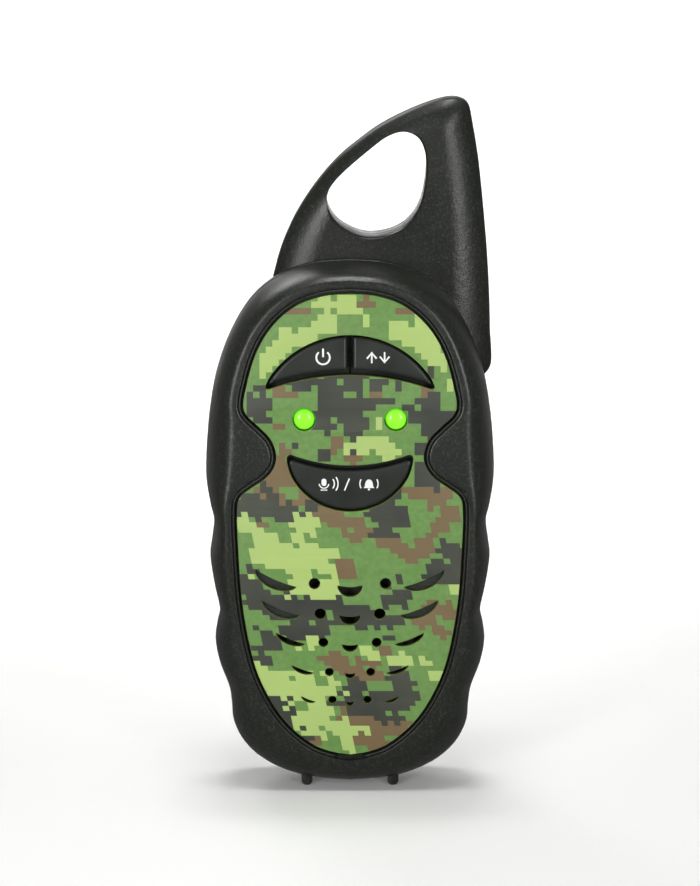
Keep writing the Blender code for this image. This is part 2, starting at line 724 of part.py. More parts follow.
def make_fin():
    loop_hole = cutter("carry_loop_hole", [smooth_curve(LOOP_EDGE, 2, closed=True)], -2.0, 20.0)
    body_edge = offset_outline(whole_outline(BODY_HALF, RING_POINTS), GAP)
    body_block = cutter("body_block", [body_edge], -3.0, 20.0)
    room = [Vector(p) for p in ((21.4, 157.0), (28.0, 157.0), (29.6, 112.0), (21.4, 112.0))]
    coil_room = cutter("coil_room", [room], 3.8, 12.2)
    for name, side in (("fin_front", -1), ("fin_rear", 1)):
        half = put(name, fin_mesh(side), BLACK_PLASTIC)
        boolean(half, loop_hole)
        boolean(half, body_block)
        boolean(half, coil_room)
        if side < 0:
            tongue = box("fin_tongue", (2.0, 4.4, 124.5), (13.0, FIN_MIDDLE_Y - GAP / 2, 134.0), None, CUTTERS)
            boolean(half, tongue, "UNION")
        for x, z in FIN_SCREW_PLACES:
            if side > 0:
                head = (x, FIN_HEAD_SEAT_Y, z)
                boolean(half, cylinder("fin_head_recess", head, (x, 20.0, z), HEAD_RADIUS, None, CUTTERS))
            reach = (4.6, FIN_MIDDLE_Y + 1.0) if side < 0 else (FIN_MIDDLE_Y - 1.0, 16.0)
            hole = cylinder("fin_screw_hole", (x, reach[0], z), (x, reach[1], z), 1.2, None, CUTTERS, 12)
            boolean(half, hole)
        smooth(half)


def make_antenna_coil():
    low = Vector((26.0, FIN_MIDDLE_Y, 124.0))
    high = Vector((24.7, FIN_MIDDLE_Y, 155.0))
    radius = 2.4
    per_turn = 8
    steps = COIL_TURNS * per_turn
    points = []
    for step in range(steps + 1):
        turn = 2 * math.pi * step / per_turn
        centre = low.lerp(high, step / steps)
        points.append(centre + Vector((radius * math.cos(turn), radius * math.sin(turn), 0)))
    wire("antenna_coil", points, 0.35, COPPER_WIRE)


# ---------------------------------------------------------------- keys, domes and lights

def brow_key_outline(side, grow):
    """The left (side -1) or right part of the crescent."""
    inner = side * (KEY_DIVIDER / 2 - max(grow, 0.0) * 0.35)
    outer = side * (20.4 + grow)
    low, high = min(inner, outer), max(inner, outer)
    return brow_outline(grow, low, high, 9)


def make_key(name, cap_outline, flange_outline, flange_front, origin, bent):
    """A cap with a flange behind the housing's floor. A bent cap follows the curved front."""
    cap_reach = -0.45 if bent else FLANGE_THICKNESS / 2
    cap = standing_piece(
        name, [cap_outline], -17.0 + KEY_RECESS, flange_front + cap_reach, KEY_PLASTIC, None, origin
    )
    if bent:
        bend_to_face(cap, origin[1])
    flange = cutter(name + "_flange", [flange_outline], flange_front, flange_front + FLANGE_THICKNESS)
    boolean(cap, flange, "UNION")
    smooth(cap)


def make_keys():
    for name, side in (("power_key", -1), ("channel_key", 1)):
        make_key(
            name, brow_key_outline(side, -KEY_CLEARANCE), brow_key_outline(side, KEY_CLEARANCE + FLANGE_LIP),
            BROW_FLANGE_FRONT, (side * 9.5, 108.0), True,
        )
    make_key(
        "talk_key", talk_outline(-KEY_CLEARANCE), talk_outline(KEY_CLEARANCE + FLANGE_LIP), TALK_FLANGE_FRONT,
        (0.0, 78.5), False,
    )


def make_domes():
    places = {
        "power_dome": (-9.5, 108.5, BROW_FLANGE_FRONT),
        "channel_dome": (9.5, 108.5, BROW_FLANGE_FRONT),
        "talk_dome": (0.0, 78.5, TALK_FLANGE_FRONT),
    }
    for name, (x, z, flange_front) in places.items():
        top = BOARD_FRONT - GAP - (flange_front + FLANGE_THICKNESS + GAP)
        profile = [(0, top), (1.9, top), (2.2, top - 0.9), (3.0, 0.7), (4.0, 0.5), (4.0, 0), (0, 0)]
        turned(name, profile, GREY_RUBBER, axis_to((0, -1, 0), x, BOARD_FRONT - GAP, z), 14)


def make_leds():
    foot = BOARD_FRONT - GAP
    length = foot - (face_y(LED_Z) + 0.2)
    profile = [
        (0, length), (1.5, length - 0.15), (2.2, length - 0.6), (LED_RADIUS, length - 1.5), (LED_RADIUS, 1.2),
        (2.9, 1.2), (2.9, 0), (0, 0),
    ]
    for name, side in (("led_left", -1), ("led_right", 1)):
        turned(name, profile, GREEN_LENS, axis_to((0, -1, 0), side * LED_X, foot, LED_Z), 16)


# ---------------------------------------------------------------- board and speaker

def make_board():
    outline = box_outline(-20.0, 65.0, 20.0, 117.5, 8.0)
    standing_piece("main_board", [outline], BOARD_FRONT, BOARD_BACK, BOARD_GREEN)
    back = BOARD_BACK + GAP
    box("radio_shield", (-15.0, back, 92.0), (3.0, back + 2.8, 110.0), TIN_STEEL)
    box("controller_chip", (7.0, back, 97.0), (15.0, back + 1.5, 105.0), CHIP_BLACK)
    box("crystal_can", (-14.0, back, 84.0), (-3.5, back + 3.4, 88.2), TIN_STEEL)
    capacitor = [(0, 5.0), (2.3, 5.0), (2.5, 4.7), (2.5, 0), (0, 0)]
    turned("filter_capacitor", capacitor, CHIP_BLACK, axis_to((0, 1, 0), 12.0, back, 84.0), 16)


def speaker_place(depth):
    """A point on the speaker's tilted axis, depth behind its rim, with its own Z pointing forwards."""
    forwards = Vector((0, -math.cos(SPEAKER_TILT), -math.sin(SPEAKER_TILT)))
    rim = Vector((0, SPEAKER_FRONT, SPEAKER_Z))
    place = rim - forwards * depth
    return axis_to(forwards, *place)


def make_speaker():
    frame = [
        (SPEAKER_RADIUS, 4.6), (SPEAKER_RADIUS, 3.4), (14.9, 3.4), (10.4, 0), (4.6, 0), (4.6, 0.7), (9.9, 0.7),
        (14.3, 4.0), (14.3, 4.6),
    ]
    turned("speaker_frame", frame + frame[:1], TIN_STEEL, speaker_place(4.6), 24)
    top = [(0, 2.4), (3.4, 1.8), (4.2, 1.5), (12.8, 4.4), (13.7, 4.4)]
    under = [(13.7, 4.0), (13.0, 4.0), (4.0, 1.0), (4.0, 0.2), (3.0, 0.2), (3.0, 1.4), (0, 2.0)]
    profile = top + under
    turned("speaker_cone", profile, PAPER_CONE, speaker_place(4.6), 20)
    magnet = [(0, 3.0), (9.0, 3.0), (9.0, 0), (0, 0)]
    turned("speaker_magnet", magnet, TIN_STEEL, speaker_place(4.6 + GAP + 3.0), 18)
    capsule = [(0, 3.4), (3.0, 3.4), (3.0, 0), (0, 0)]
    turned("microphone", capsule, TIN_STEEL, axis_to((0, -1, 0), 0, -6.0, 21.6), 14)


# ---------------------------------------------------------------- battery bay

def cell_profile():
    return [
        (0, CELL_LENGTH), (1.9, CELL_LENGTH), (1.9, CELL_LENGTH - 1.0), (4.6, CELL_LENGTH - 1.0),
        (CELL_RADIUS, CELL_LENGTH - 1.6), (CELL_RADIUS, 0.4), (4.8, 0), (0, 0),
    ]


def make_cells():
    low_end = BAY_BOTTOM + 6.1
    for index, x in enumerate((-CELL_SPACING, 0.0, CELL_SPACING), 1):
        upright = index != 2
        z = low_end if upright else BAY_BOTTOM + 1.0 + CELL_LENGTH
        direction = (0, 0, 1) if upright else (0, 0, -1)
        turned(f"battery_cell_{index}", cell_profile(), CELL_WRAP, axis_to(direction, x, CELL_Y, z), 14)
        spring_z = BAY_BOTTOM + 1.0 if upright else BAY_TOP - 1.0
        make_spring(f"battery_spring_{index}", x, spring_z, 1 if upright else -1)


def make_spring(name, x, z, rise):
    """A cone of wire that presses on the flat end of a cell."""
    turns, per_turn, height = 3, 8, 4.1
    steps = int(turns * per_turn)
    points = []
    for step in range(steps + 1):
        part = step / steps
        turn = 2 * math.pi * turns * part
        radius = 3.6 - 1.6 * part
        lift = rise * (0.35 + height * part)
        points.append((x + radius * math.cos(turn), CELL_Y + radius * math.sin(turn), z + lift))
    wire(name, points, 0.3, TIN_STEEL)


def contact_outline(x_low, x_high, tab_x=None):
    """A contact plate seen from above, with a solder tab that runs forwards through the bay's wall."""
    front, back = 0.6, 10.6
    if tab_x is None:
        return [Vector(p) for p in ((x_low, back), (x_high, back), (x_high, front), (x_low, front))]
    points = [
        (x_low, back), (x_high, back), (x_high, front), (tab_x + 1.0, front), (tab_x + 1.0, -3.4),
        (tab_x - 1.0, -3.4), (tab_x - 1.0, front), (x_low, front),
    ]
    return [Vector(p) for p in points]


def make_contacts():
    """Two end contacts with tabs, and two bridges that join the cells in series."""
    span = CELL_SPACING
    half = CONTACT_HALF_WIDTH
    low = BAY_BOTTOM + 0.5
    high = BAY_TOP - 0.9
    plates = {
        "battery_contact_negative": (contact_outline(-span - half, -span + half, -span), low),
        "battery_bridge_lower": (contact_outline(-half, span + half), low),
        "battery_bridge_upper": (contact_outline(-span - half, half), high),
        "battery_contact_positive": (contact_outline(span - half, span + half, span), high),
    }
    for name, (outline, z) in plates.items():
        flat_piece(name, [outline], CONTACT_THICKNESS, TIN_STEEL, None, Matrix.Translation((0, 0, z * MM)))


def make_battery_cover():
    hinge = COVER_HINGE
    cover = standing_piece(
        "battery_cover", [cover_outline()], BACK_DEPTH - COVER_THICKNESS, BACK_DEPTH, BLACK_PLASTIC, None,
        (hinge[0], hinge[2]),
    )
    # The cover's origin is moved onto the line that it turns about.
    shift = Vector((0.0, 0.0, hinge[1] - (BACK_DEPTH - COVER_THICKNESS / 2))) * MM
    cover.data.transform(Matrix.Translation(shift))
    cover.location.y = hinge[1] * MM
    for side in (-1, 1):
        low, high = side * 10.0 - 2.8, side * 10.0 + 2.8
        boolean(cover, box("cover_hook", (low, 11.0, 9.9), (high, 12.1, 14.5), None, CUTTERS), "UNION")
        boolean(cover, box("hook_root", (low, 11.5, 12.7), (high, 12.8, 14.5), None, CUTTERS), "UNION")
    for name, start_y, radius in (("cover_screw_pass", 8.0, 1.6), ("cover_screw_sink", COVER_HEAD_SEAT_Y, 2.7)):
        start, end = (0, start_y, COVER_SCREW_Z), (0, 18.0, COVER_SCREW_Z)
        boolean(cover, cylinder(name, start, end, radius, None, CUTTERS))
    for row in range(5):
        z = 60.0 - row * 2.2
        boolean(cover, box("cover_groove", (-6.0, 13.5, z), (6.0, 15.0, z + 0.9), None, CUTTERS))
    smooth(cover)
    screw = [(0, 0.7), (1.6, 0.7), (2.2, 0.3), (2.2, 0), (1.1, 0), (1.1, -7.2), (0.3, -8.2), (0, -8.2)]
    pivot = bpy.data.objects.new("cover_hinge_line", None)
    PARTS.objects.link(pivot)
    pivot.matrix_world = Matrix.Translation(Vector(hinge) * MM)
    head = axis_to((0, 1, 0), 0, COVER_HEAD_SEAT_Y + GAP, COVER_SCREW_Z)
    fastener = turned("battery_cover_screw", screw, TIN_STEEL, head, 14)
    bpy.context.view_layer.update()
    for piece in (cover, fastener):
        world = piece.matrix_world.copy()
        piece.parent = pivot
        piece.matrix_world = world


# ---------------------------------------------------------------- screws and feet

def make_screws():
    long = [
        (0, 1.5), (1.7, 1.5), (HEAD_RADIUS, 1.0), (HEAD_RADIUS, 0), (1.05, 0), (1.05, -14.0), (0.3, -15.4),
        (0, -15.4),
    ]
    names = {(1, 0): "upper_right", (-1, 0): "upper_left", (1, 1): "lower_right", (-1, 1): "lower_left"}
    for (side, place), name in names.items():
        x, z, _ = POST_PLACES[place]
        place_of_head = axis_to((0, 1, 0), side * x, HEAD_SEAT_Y + GAP, z)
        turned("housing_screw_" + name, long, TIN_STEEL, place_of_head, 12)
    short = [(0, 1.4), (1.3, 1.4), (1.8, 0.9), (1.8, 0), (0.85, 0), (0.85, -5.2), (0.3, -6.2), (0, -6.2)]
    for name, (x, z) in zip(("lower", "upper"), FIN_SCREW_PLACES):
        turned("fin_screw_" + name, short, TIN_STEEL, axis_to((0, 1, 0), x, FIN_HEAD_SEAT_Y + GAP, z), 12)


def make_feet():
    """Small round-ended pegs that the unit stands on, each held by a collar inside the housing."""
    profile = [
        (0, 6.6), (2.3, 6.6), (2.3, 5.4), (FOOT_RADIUS, 5.4), (FOOT_RADIUS, 0.95), (1.15, 0.35), (0.65, 0),
        (0, 0),
    ]
    for row, y in FOOT_PLACES.items():
        for name, side in (("left", -1), ("right", 1)):
            turned(f"foot_{row}_{name}", profile, BLACK_PLASTIC, axis_to((0, 0, 1), side * FOOT_X, y, 0), 12)


# ---------------------------------------------------------------- belt clip

def make_belt_clip():
    """A sprung tongue on a pin across the back, pressed open by the pad above the pin."""
    y, z = CLIP_PIN_Y, CLIP_PIN_Z
    outline = box_outline(-CLIP_HALF_WIDTH, CLIP_BOTTOM, CLIP_HALF_WIDTH, CLIP_TOP, 2.5)
    moved = [[point - Vector((0, z)) for point in outline]]
    clip = flat_piece("belt_clip", moved, CLIP_THICKNESS, BLACK_PLASTIC, None, facing(y, y, 0.0, z))
    clip.data.transform(Matrix.Translation(Vector((0, 0, -(CLIP_PAD_Y - y))) * MM))
    for side in (-1, 1):
        barrel = cylinder("clip_barrel", (side * 3.0, y, z), (side * CLIP_HALF_WIDTH, y, z), 2.5, None, CUTTERS, 16)
        boolean(clip, barrel, "UNION")
        web = box("clip_web", (side * 5.1 - 2.0, y, z - 1.6), (side * 5.1 + 2.0, 20.6, z + 1.6), None, CUTTERS)
        boolean(clip, web, "UNION")
    lip = box("clip_lip", (-6.2, 15.1, 79.6), (6.2, 20.6, 81.4), None, CUTTERS)
    boolean(clip, lip, "UNION")
    bore = cylinder("clip_bore", (-12, y, z), (12, y, z), CLIP_PIN_RADIUS + GAP, None, CUTTERS, 14)
    boolean(clip, bore)
    smooth(clip)
    cylinder("clip_pin", (-10.3, y, z), (10.3, y, z), CLIP_PIN_RADIUS, TIN_STEEL, None, 14)
    make_clip_spring(y, z)


def make_clip_spring(y, z):
    """A torsion spring round the pin, with one leg on the housing and one on the clip's pad."""
    radius = 1.6
    turns, per_turn = 3, 8
    points = [(-2.3, y + 1.55, z + 6.0), (-2.3, y + radius, z + 2.5)]
    steps = turns * per_turn
    for step in range(steps + 1):
        turn = 2 * math.pi * step / per_turn
        points.append((-2.3 + 4.6 * step / steps, y + radius * math.cos(turn), z - radius * math.sin(turn)))
    points += [(2.3, y + radius * 0.6, z + 2.5), (2.3, y - 1.2, z + 6.0)]
    wire("clip_spring", points, 0.25, TIN_STEEL)


# ---------------------------------------------------------------- leads

def make_leads():
    routes = {
        "speaker_lead": (
            [(6.0, -7.6, 59.0), (6.5, -5.0, 61.0), (6.0, -4.6, 65.0), (5.5, -6.6, 68.5)],
            BLACK_PLASTIC,
        ),
        "battery_lead_red": (
            [(11.2, -4.3, 64.6), (12.5, -5.4, 65.6), (14.0, -6.0, 67.5), (15.0, -6.6, 70.0)],
            RED_WIRE,
        ),
        "battery_lead_black": (
            [
                (-11.2, -4.3, 14.0), (-14.5, -5.0, 15.0), (-18.5, -5.2, 20.0), (-19.5, -5.2, 28.0),
                (-19.5, -5.2, 52.0), (-18.5, -5.4, 62.0), (-17.0, -6.6, 69.0),
            ],
            BLACK_PLASTIC,
        ),
        "antenna_lead": (
            [
                (14.0, -6.6, 112.0), (16.5, -3.5, 114.0), (20.0, 1.5, 114.6), (24.5, 6.6, 115.4),
                (26.2, 7.6, 118.0), (26.4, 7.9, 121.6),
            ],
            COPPER_WIRE,
        ),
    }
    for name, (points, material) in routes.items():
        curve = smooth_curve([Vector(point) for point in points], 3)
        wire(name, curve, 0.5, material)


def centre_depth():
    """Moves everything so that the object's box is centred in depth on the origin."""
    bpy.context.view_layer.update()
    for collection in (PARTS, CUTTERS):
        for obj in collection.objects:
            if obj.parent is None:
                obj.location.y -= DEPTH_MIDDLE * MM


make_front_housing()
make_face_plate()
make_rear_housing()
make_fin()
make_antenna_coil()
make_keys()
make_domes()
make_leds()
make_board()
make_speaker()
make_cells()
make_contacts()
make_battery_cover()
make_screws()
make_feet()
make_belt_clip()
make_leads()
centre_depth()
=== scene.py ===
"""Toy walkie talkie: its looks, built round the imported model.

Shapes are worked out in millimetres from the plane where the two housing halves meet, with X to the right
and Z up, and at() turns such a point into the frame's metres.
"""

import json
import math

import bmesh
import bpy
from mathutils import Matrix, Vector

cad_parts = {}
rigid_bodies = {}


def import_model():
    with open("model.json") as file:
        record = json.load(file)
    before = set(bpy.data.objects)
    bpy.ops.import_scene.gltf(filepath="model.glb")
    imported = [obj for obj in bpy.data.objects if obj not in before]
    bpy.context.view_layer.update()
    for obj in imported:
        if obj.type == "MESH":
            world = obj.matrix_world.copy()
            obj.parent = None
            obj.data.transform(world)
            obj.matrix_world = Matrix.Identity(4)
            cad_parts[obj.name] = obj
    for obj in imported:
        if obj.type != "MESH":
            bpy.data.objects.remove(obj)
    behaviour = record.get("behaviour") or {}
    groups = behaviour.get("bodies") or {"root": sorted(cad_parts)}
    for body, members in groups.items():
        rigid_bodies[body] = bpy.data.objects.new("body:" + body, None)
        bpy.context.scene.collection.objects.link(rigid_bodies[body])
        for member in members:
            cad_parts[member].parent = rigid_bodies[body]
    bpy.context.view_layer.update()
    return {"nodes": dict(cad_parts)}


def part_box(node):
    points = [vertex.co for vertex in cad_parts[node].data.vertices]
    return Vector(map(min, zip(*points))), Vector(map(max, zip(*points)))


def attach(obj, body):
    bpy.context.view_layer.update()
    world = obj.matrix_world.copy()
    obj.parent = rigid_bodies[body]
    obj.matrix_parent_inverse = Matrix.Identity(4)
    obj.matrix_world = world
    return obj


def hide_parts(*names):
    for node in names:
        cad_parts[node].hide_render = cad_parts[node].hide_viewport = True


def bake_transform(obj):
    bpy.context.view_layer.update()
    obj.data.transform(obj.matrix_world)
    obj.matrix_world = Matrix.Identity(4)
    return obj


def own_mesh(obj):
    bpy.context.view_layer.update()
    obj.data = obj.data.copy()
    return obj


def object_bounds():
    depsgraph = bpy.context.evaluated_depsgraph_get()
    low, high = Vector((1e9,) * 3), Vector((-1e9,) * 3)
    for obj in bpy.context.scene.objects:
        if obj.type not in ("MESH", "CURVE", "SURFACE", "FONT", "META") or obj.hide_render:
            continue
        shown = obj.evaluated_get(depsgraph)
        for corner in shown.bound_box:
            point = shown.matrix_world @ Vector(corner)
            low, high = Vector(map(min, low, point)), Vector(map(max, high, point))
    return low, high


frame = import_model()
NODES = frame["nodes"]

MM = 0.001
GAP = 0.3
WALL = 1.8

# The front housing's lip lies half a gap in front of the plane where the halves meet.
PARTING_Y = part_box("front_housing")[1].y + GAP / 2 * MM

FRONT_ROUND = 6.8
BACK_ROUND = 8.0
FIN_ROOT_ROUND = 1.2
FRONT_ROUNDNESS = 2.2
BACK_ROUNDNESS = 2.8
BACK_DEPTH = 14.0
FACE_RADIUS = 500.0
FACE_APEX_Z = 79.0
FACE_FRONT = -17.0
FACE_PROUD = 0.4
PLATE_THICKNESS = 1.5
FLOOR_DEPTH = 1.8
FLOOR_THICKNESS = 1.6

KEY_CLEARANCE = 0.5
KEY_RECESS = 0.4
KEY_ROLL = 0.8
KEY_ROLL_DEPTH = 0.6
KEY_DIVIDER = 1.4
TIP_BLUNTNESS = 2.6
BROW_CAP_LIFT = 0.75
TALK_CAP_DROP = 0.8
BROW_TIP_X = 20.4
BROW_TOP_Z, BROW_TOP_RADIUS = 115.1, 23.5
BROW_HOLLOW_Z, BROW_HOLLOW_RADIUS = 105.3, 58.0
BROW_DOME_X, BROW_DOME_Z = 9.5, 108.5
TALK_HALF_WIDTH = 15.3
TALK_HOLLOW_Z, TALK_HOLLOW_RADIUS = 83.3, 40.0
TALK_ROUND_Z, TALK_ROUND_RADIUS = 87.8, 16.0
TALK_MIDDLE_Z = 78.5
FLANGE_LIP = 1.0
FLANGE_THICKNESS = 1.1
BROW_FLANGE_FRONT = -11.85
TALK_FLANGE_FRONT = -13.2
LED_X = 11.1
LED_Z = 94.5
LED_RADIUS = 2.5
LENS_RADIUS = 2.62

FIN_MIDDLE_Y = 8.0
FIN_HALF_DEPTH = 6.0
FIN_EDGE_HALF_DEPTH = 1.5
RIDGE_REACH = 1.35

POST_PLACES = [(27.0, 98.0), (24.3, 24.0)]
HEAD_RADIUS = 2.2
HEAD_SEAT_Y = 5.7
FIN_SCREW_PLACES = [(-10.5, 134.5), (22.6, 162.6)]
FIN_HEAD_SEAT_Y = 11.6
FOOT_RADIUS = 1.38
FOOT_TIP_RADIUS = 0.35
FOOT_ROUND = 1.15
POST_RADIUS = 3.6

COVER_HALF_WIDTH = 18.6
COVER_BOTTOM = 12.3
COVER_TOP = 73.3
COVER_THICKNESS = 1.8
COVER_SCREW_Z = 69.4
COVER_SCREW_SEAT_Y = 12.8
HOOK_X = 10.0
BATTERY_BOX = ((-18.9, -1.8, 11.9), (18.9, 13.2, 74.3))
BAY_HALF_WIDTH = 17.2
BAY_BOTTOM = 13.5
BAY_TOP = 65.5

CLIP_PIN_Y = 17.5
CLIP_PIN_Z = 112.0
CLIP_HALF_WIDTH = 7.2
CLIP_PAD_Y = 20.7
CLIP_LUG_X = 9.0
PIN_BORE = 1.3

# The front of the main board, and a depth that is past every outer face at the back
BOARD_FRONT_Y = -9.0
BEHIND_ALL = 20.0

# How finely the outlines are divided
RING_POINTS = 320
EDGE_STEPS = 22
FIN_STEPS = 26
EVENING_ROUNDS = 150

# Right half of each outline, from the top of the middle line to its bottom, as (x, z)
BODY_HALF = [
    (0, 131.0), (8, 130.4), (14.6, 128.4), (20.9, 124.6), (25.7, 119.4), (29.9, 111.6), (32.8, 103.0),
    (34.3, 94.5), (35.1, 86.0), (35.3, 78.0), (34.4, 71.8), (33.4, 67.2), (34.0, 61.5), (34.4, 57.8),
    (33.4, 51.0), (32.1, 44.5), (32.9, 39.8), (33.2, 36.2), (32.2, 31.0), (30.0, 25.0), (29.3, 20.5),
    (28.9, 16.0), (26.8, 11.3), (23.0, 7.2), (17.3, 3.8), (10.0, 1.6), (0, 0.8),
]
PLATE_HALF = [
    (0, 125.1), (6.0, 124.6), (12.0, 122.7), (16.9, 119.2), (20.7, 114.5), (23.3, 109.0), (25.0, 102.8),
    (25.8, 98.2), (25.0, 95.6), (22.0, 92.7), (19.2, 89.7), (17.9, 86.0), (18.4, 82.8), (20.6, 80.0),
    (24.2, 77.5), (26.8, 75.2), (27.4, 71.5), (27.2, 63.0), (26.2, 48.4), (23.7, 34.4), (20.2, 25.2),
    (15.6, 18.0), (9.6, 12.6), (4.6, 10.4), (0, 9.6),
]
FIN_PAIRS = [
    ((-19.0, 122.5), (-12.0, 122.5)), ((-18.2, 128.3), (-11.0, 129.0)), ((-15.9, 135.5), (-9.0, 135.5)),
    ((-12.4, 142.7), (-6.6, 141.2)), ((-7.5, 149.9), (-3.2, 147.2)), ((-2.6, 155.4), (0.8, 152.2)),
    ((1.8, 159.1), (4.6, 155.6)), ((7.0, 162.9), (8.8, 158.9)), ((13.0, 166.1), (14.4, 161.9)),
    ((18.5, 168.4), (19.0, 163.6)), ((23.3, 169.8), (22.0, 164.4)), ((26.6, 169.7), (23.7, 163.8)),
    ((28.9, 168.0), (24.4, 162.3)), ((30.0, 163.0), (24.6, 159.5)), ((31.3, 155.0), (25.3, 153.5)),
    ((32.4, 145.0), (26.4, 144.0)), ((33.4, 134.0), (26.9, 133.0)), ((34.1, 123.0), (27.0, 123.0)),
    ((34.4, 113.0), (27.0, 114.0)), ((34.3, 103.0), (26.6, 107.0)), ((28.0, 101.0), (23.0, 106.0)),
    ((12.0, 108.0), (12.0, 111.0)), ((-6.0, 112.0), (-3.0, 115.0)), ((-16.0, 116.0), (-10.0, 118.0)),
]
LOOP_EDGE = [
    (13.2, 161.9), (16.6, 160.4), (18.3, 156.5), (18.4, 150.5), (17.0, 143.8), (13.6, 138.9), (8.6, 136.5),
    (3.0, 136.3), (-2.6, 139.0), (-5.4, 143.2), (-5.2, 147.4), (-2.0, 151.6), (4.6, 157.4), (9.2, 160.8),
]

# Speaker slots, row by row: round hole x, z and radius, smile half width, top and drop, then the outer
# slot's two tips and drop
GRILLE_ROWS = [
    ((8.65, 53.8, 1.38), (3.05, 53.3, 2.9), ((23.0, 57.3), (13.1, 52.9), 2.5)),
    ((7.25, 46.1, 1.40), (2.60, 45.7, 2.4), ((21.4, 49.5), (12.2, 45.7), 2.2)),
    ((6.50, 38.8, 1.18), (1.95, 38.3, 1.9), ((18.0, 41.2), (11.0, 38.4), 1.5)),
    ((5.05, 31.2, 1.05), (1.30, 30.9, 1.4), ((14.2, 32.9), (8.9, 31.0), 1.1)),
    ((4.30, 24.0, 1.00), (0.95, 23.5, 1.2), ((11.9, 24.9), (8.5, 23.5), 0.8)),
]

# The outer slots of the upper rows end at the backing behind the plate.
BLIND_SLOT_ROWS = 2

# Camouflage: patches of each ink as (x, z, half width, half height, lean in degrees)
LIGHT_PATCHES = [
    (-3.1, 122.6, 5.6, 2.3, 0), (-5.4, 118.4, 2.0, 3.6, 0), (-8.5, 116.2, 4.6, 1.9, 12),
    (-13.2, 113.4, 5.2, 2.0, 22), (-18.6, 110.2, 3.4, 2.5, 30), (-15.6, 116.7, 1.0, 1.0, 0),
    (-20.6, 106.6, 1.4, 1.6, 0), (14.4, 115.5, 4.8, 2.3, -20), (17.2, 117.4, 2.6, 2.4, 0),
    (19.2, 112.6, 2.5, 4.0, 20), (21.8, 108.6, 1.4, 2.4, 0), (23.6, 103.4, 1.0, 1.8, 0),
    (3.5, 118.7, 0.8, 1.9, 0), (14.0, 112.6, 1.0, 1.0, 0), (0.4, 87.9, 3.4, 1.3, 0),
    (6.2, 89.2, 4.0, 1.4, 12), (8.7, 86.6, 3.2, 2.0, 0), (7.0, 93.1, 1.0, 1.0, 0),
    (-25.6, 68.8, 3.2, 1.8, -25), (-21.6, 65.6, 3.2, 2.0, -35), (-11.2, 68.0, 3.7, 3.8, 0),
    (-13.5, 60.6, 9.4, 4.4, -6), (-20.0, 60.6, 3.2, 2.4, 0), (-8.6, 53.4, 6.8, 4.2, -10),
    (-4.6, 61.2, 3.4, 2.0, 0), (25.6, 52.2, 1.8, 1.3, 0), (-23.8, 55.6, 1.3, 0.8, 0),
    (-18.0, 28.6, 7.4, 3.4, -10), (-9.0, 27.6, 7.2, 4.6, 0), (-9.4, 21.0, 5.6, 5.6, 0),
    (-5.6, 16.8, 6.4, 2.8, 0), (0.2, 16.4, 5.4, 1.3, 0), (-0.8, 12.6, 1.8, 2.6, -15),
    (5.0, 35.4, 1.9, 2.2, -20), (12.2, 34.4, 3.8, 1.5, 10), (18.6, 33.6, 1.2, 1.4, 0),
    (20.8, 30.4, 2.0, 1.9, 0), (-9.8, 39.2, 2.0, 1.9, 0), (-12.6, 37.4, 1.4, 1.0, 0),
]
DARK_PATCHES = [
    (-2.2, 103.2, 11.0, 2.7, 0), (-0.4, 98.9, 7.6, 3.2, 0), (-6.8, 94.6, 2.7, 3.8, 0),
    (1.2, 94.4, 2.9, 3.4, 0), (0.9, 89.6, 1.2, 3.4, 0), (-22.6, 97.4, 3.2, 3.4, 0),
    (-21.8, 101.5, 1.0, 1.0, 0), (-13.9, 88.0, 1.0, 1.0, 0), (-6.2, 85.4, 1.7, 1.4, 0),
    (19.4, 94.6, 6.6, 2.7, 0), (19.0, 98.4, 3.0, 2.0, 0), (19.6, 90.8, 1.8, 1.7, 0),
    (9.6, 99.0, 1.4, 1.2, 0), (17.4, 87.0, 2.2, 2.0, 0), (18.6, 80.8, 3.2, 2.8, -20),
    (-22.4, 73.0, 5.8, 3.0, -5), (-15.4, 71.6, 4.8, 2.6, 0), (-9.4, 73.6, 3.0, 1.8, 0),
    (9.4, 71.8, 4.2, 4.2, 0), (8.6, 66.8, 3.0, 2.2, 0), (17.4, 111.8, 0.9, 0.9, 0),
    (19.4, 105.8, 1.0, 1.2, 0), (-20.8, 77.6, 1.2, 1.6, 0), (-24.0, 52.2, 3.0, 5.0, 0),
    (-18.0, 48.4, 6.6, 3.2, -14), (-6.6, 46.4, 8.4, 3.6, -8), (3.2, 45.2, 5.6, 2.4, 0),
    (10.0, 44.4, 3.2, 1.5, 0), (-11.4, 42.0, 6.2, 2.4, 0), (-20.8, 38.6, 3.8, 3.4, 0),
    (-21.6, 33.8, 2.2, 2.6, 0), (25.0, 61.4, 3.0, 2.8, 0), (22.8, 56.0, 5.0, 3.0, -8),
    (11.0, 50.2, 3.6, 2.4, 0), (11.8, 55.0, 1.0, 0.9, 0), (9.2, 40.4, 2.2, 0.9, 0),
    (12.2, 27.8, 3.8, 4.8, 0), (6.0, 23.2, 9.0, 3.2, 0), (0.8, 27.6, 2.5, 2.6, 0),
    (9.4, 19.4, 4.2, 1.8, 0), (-17.2, 22.4, 3.8, 3.6, 0), (-14.4, 17.6, 3.6, 2.8, 0),
    (-12.0, 13.8, 2.6, 1.8, 0),
]
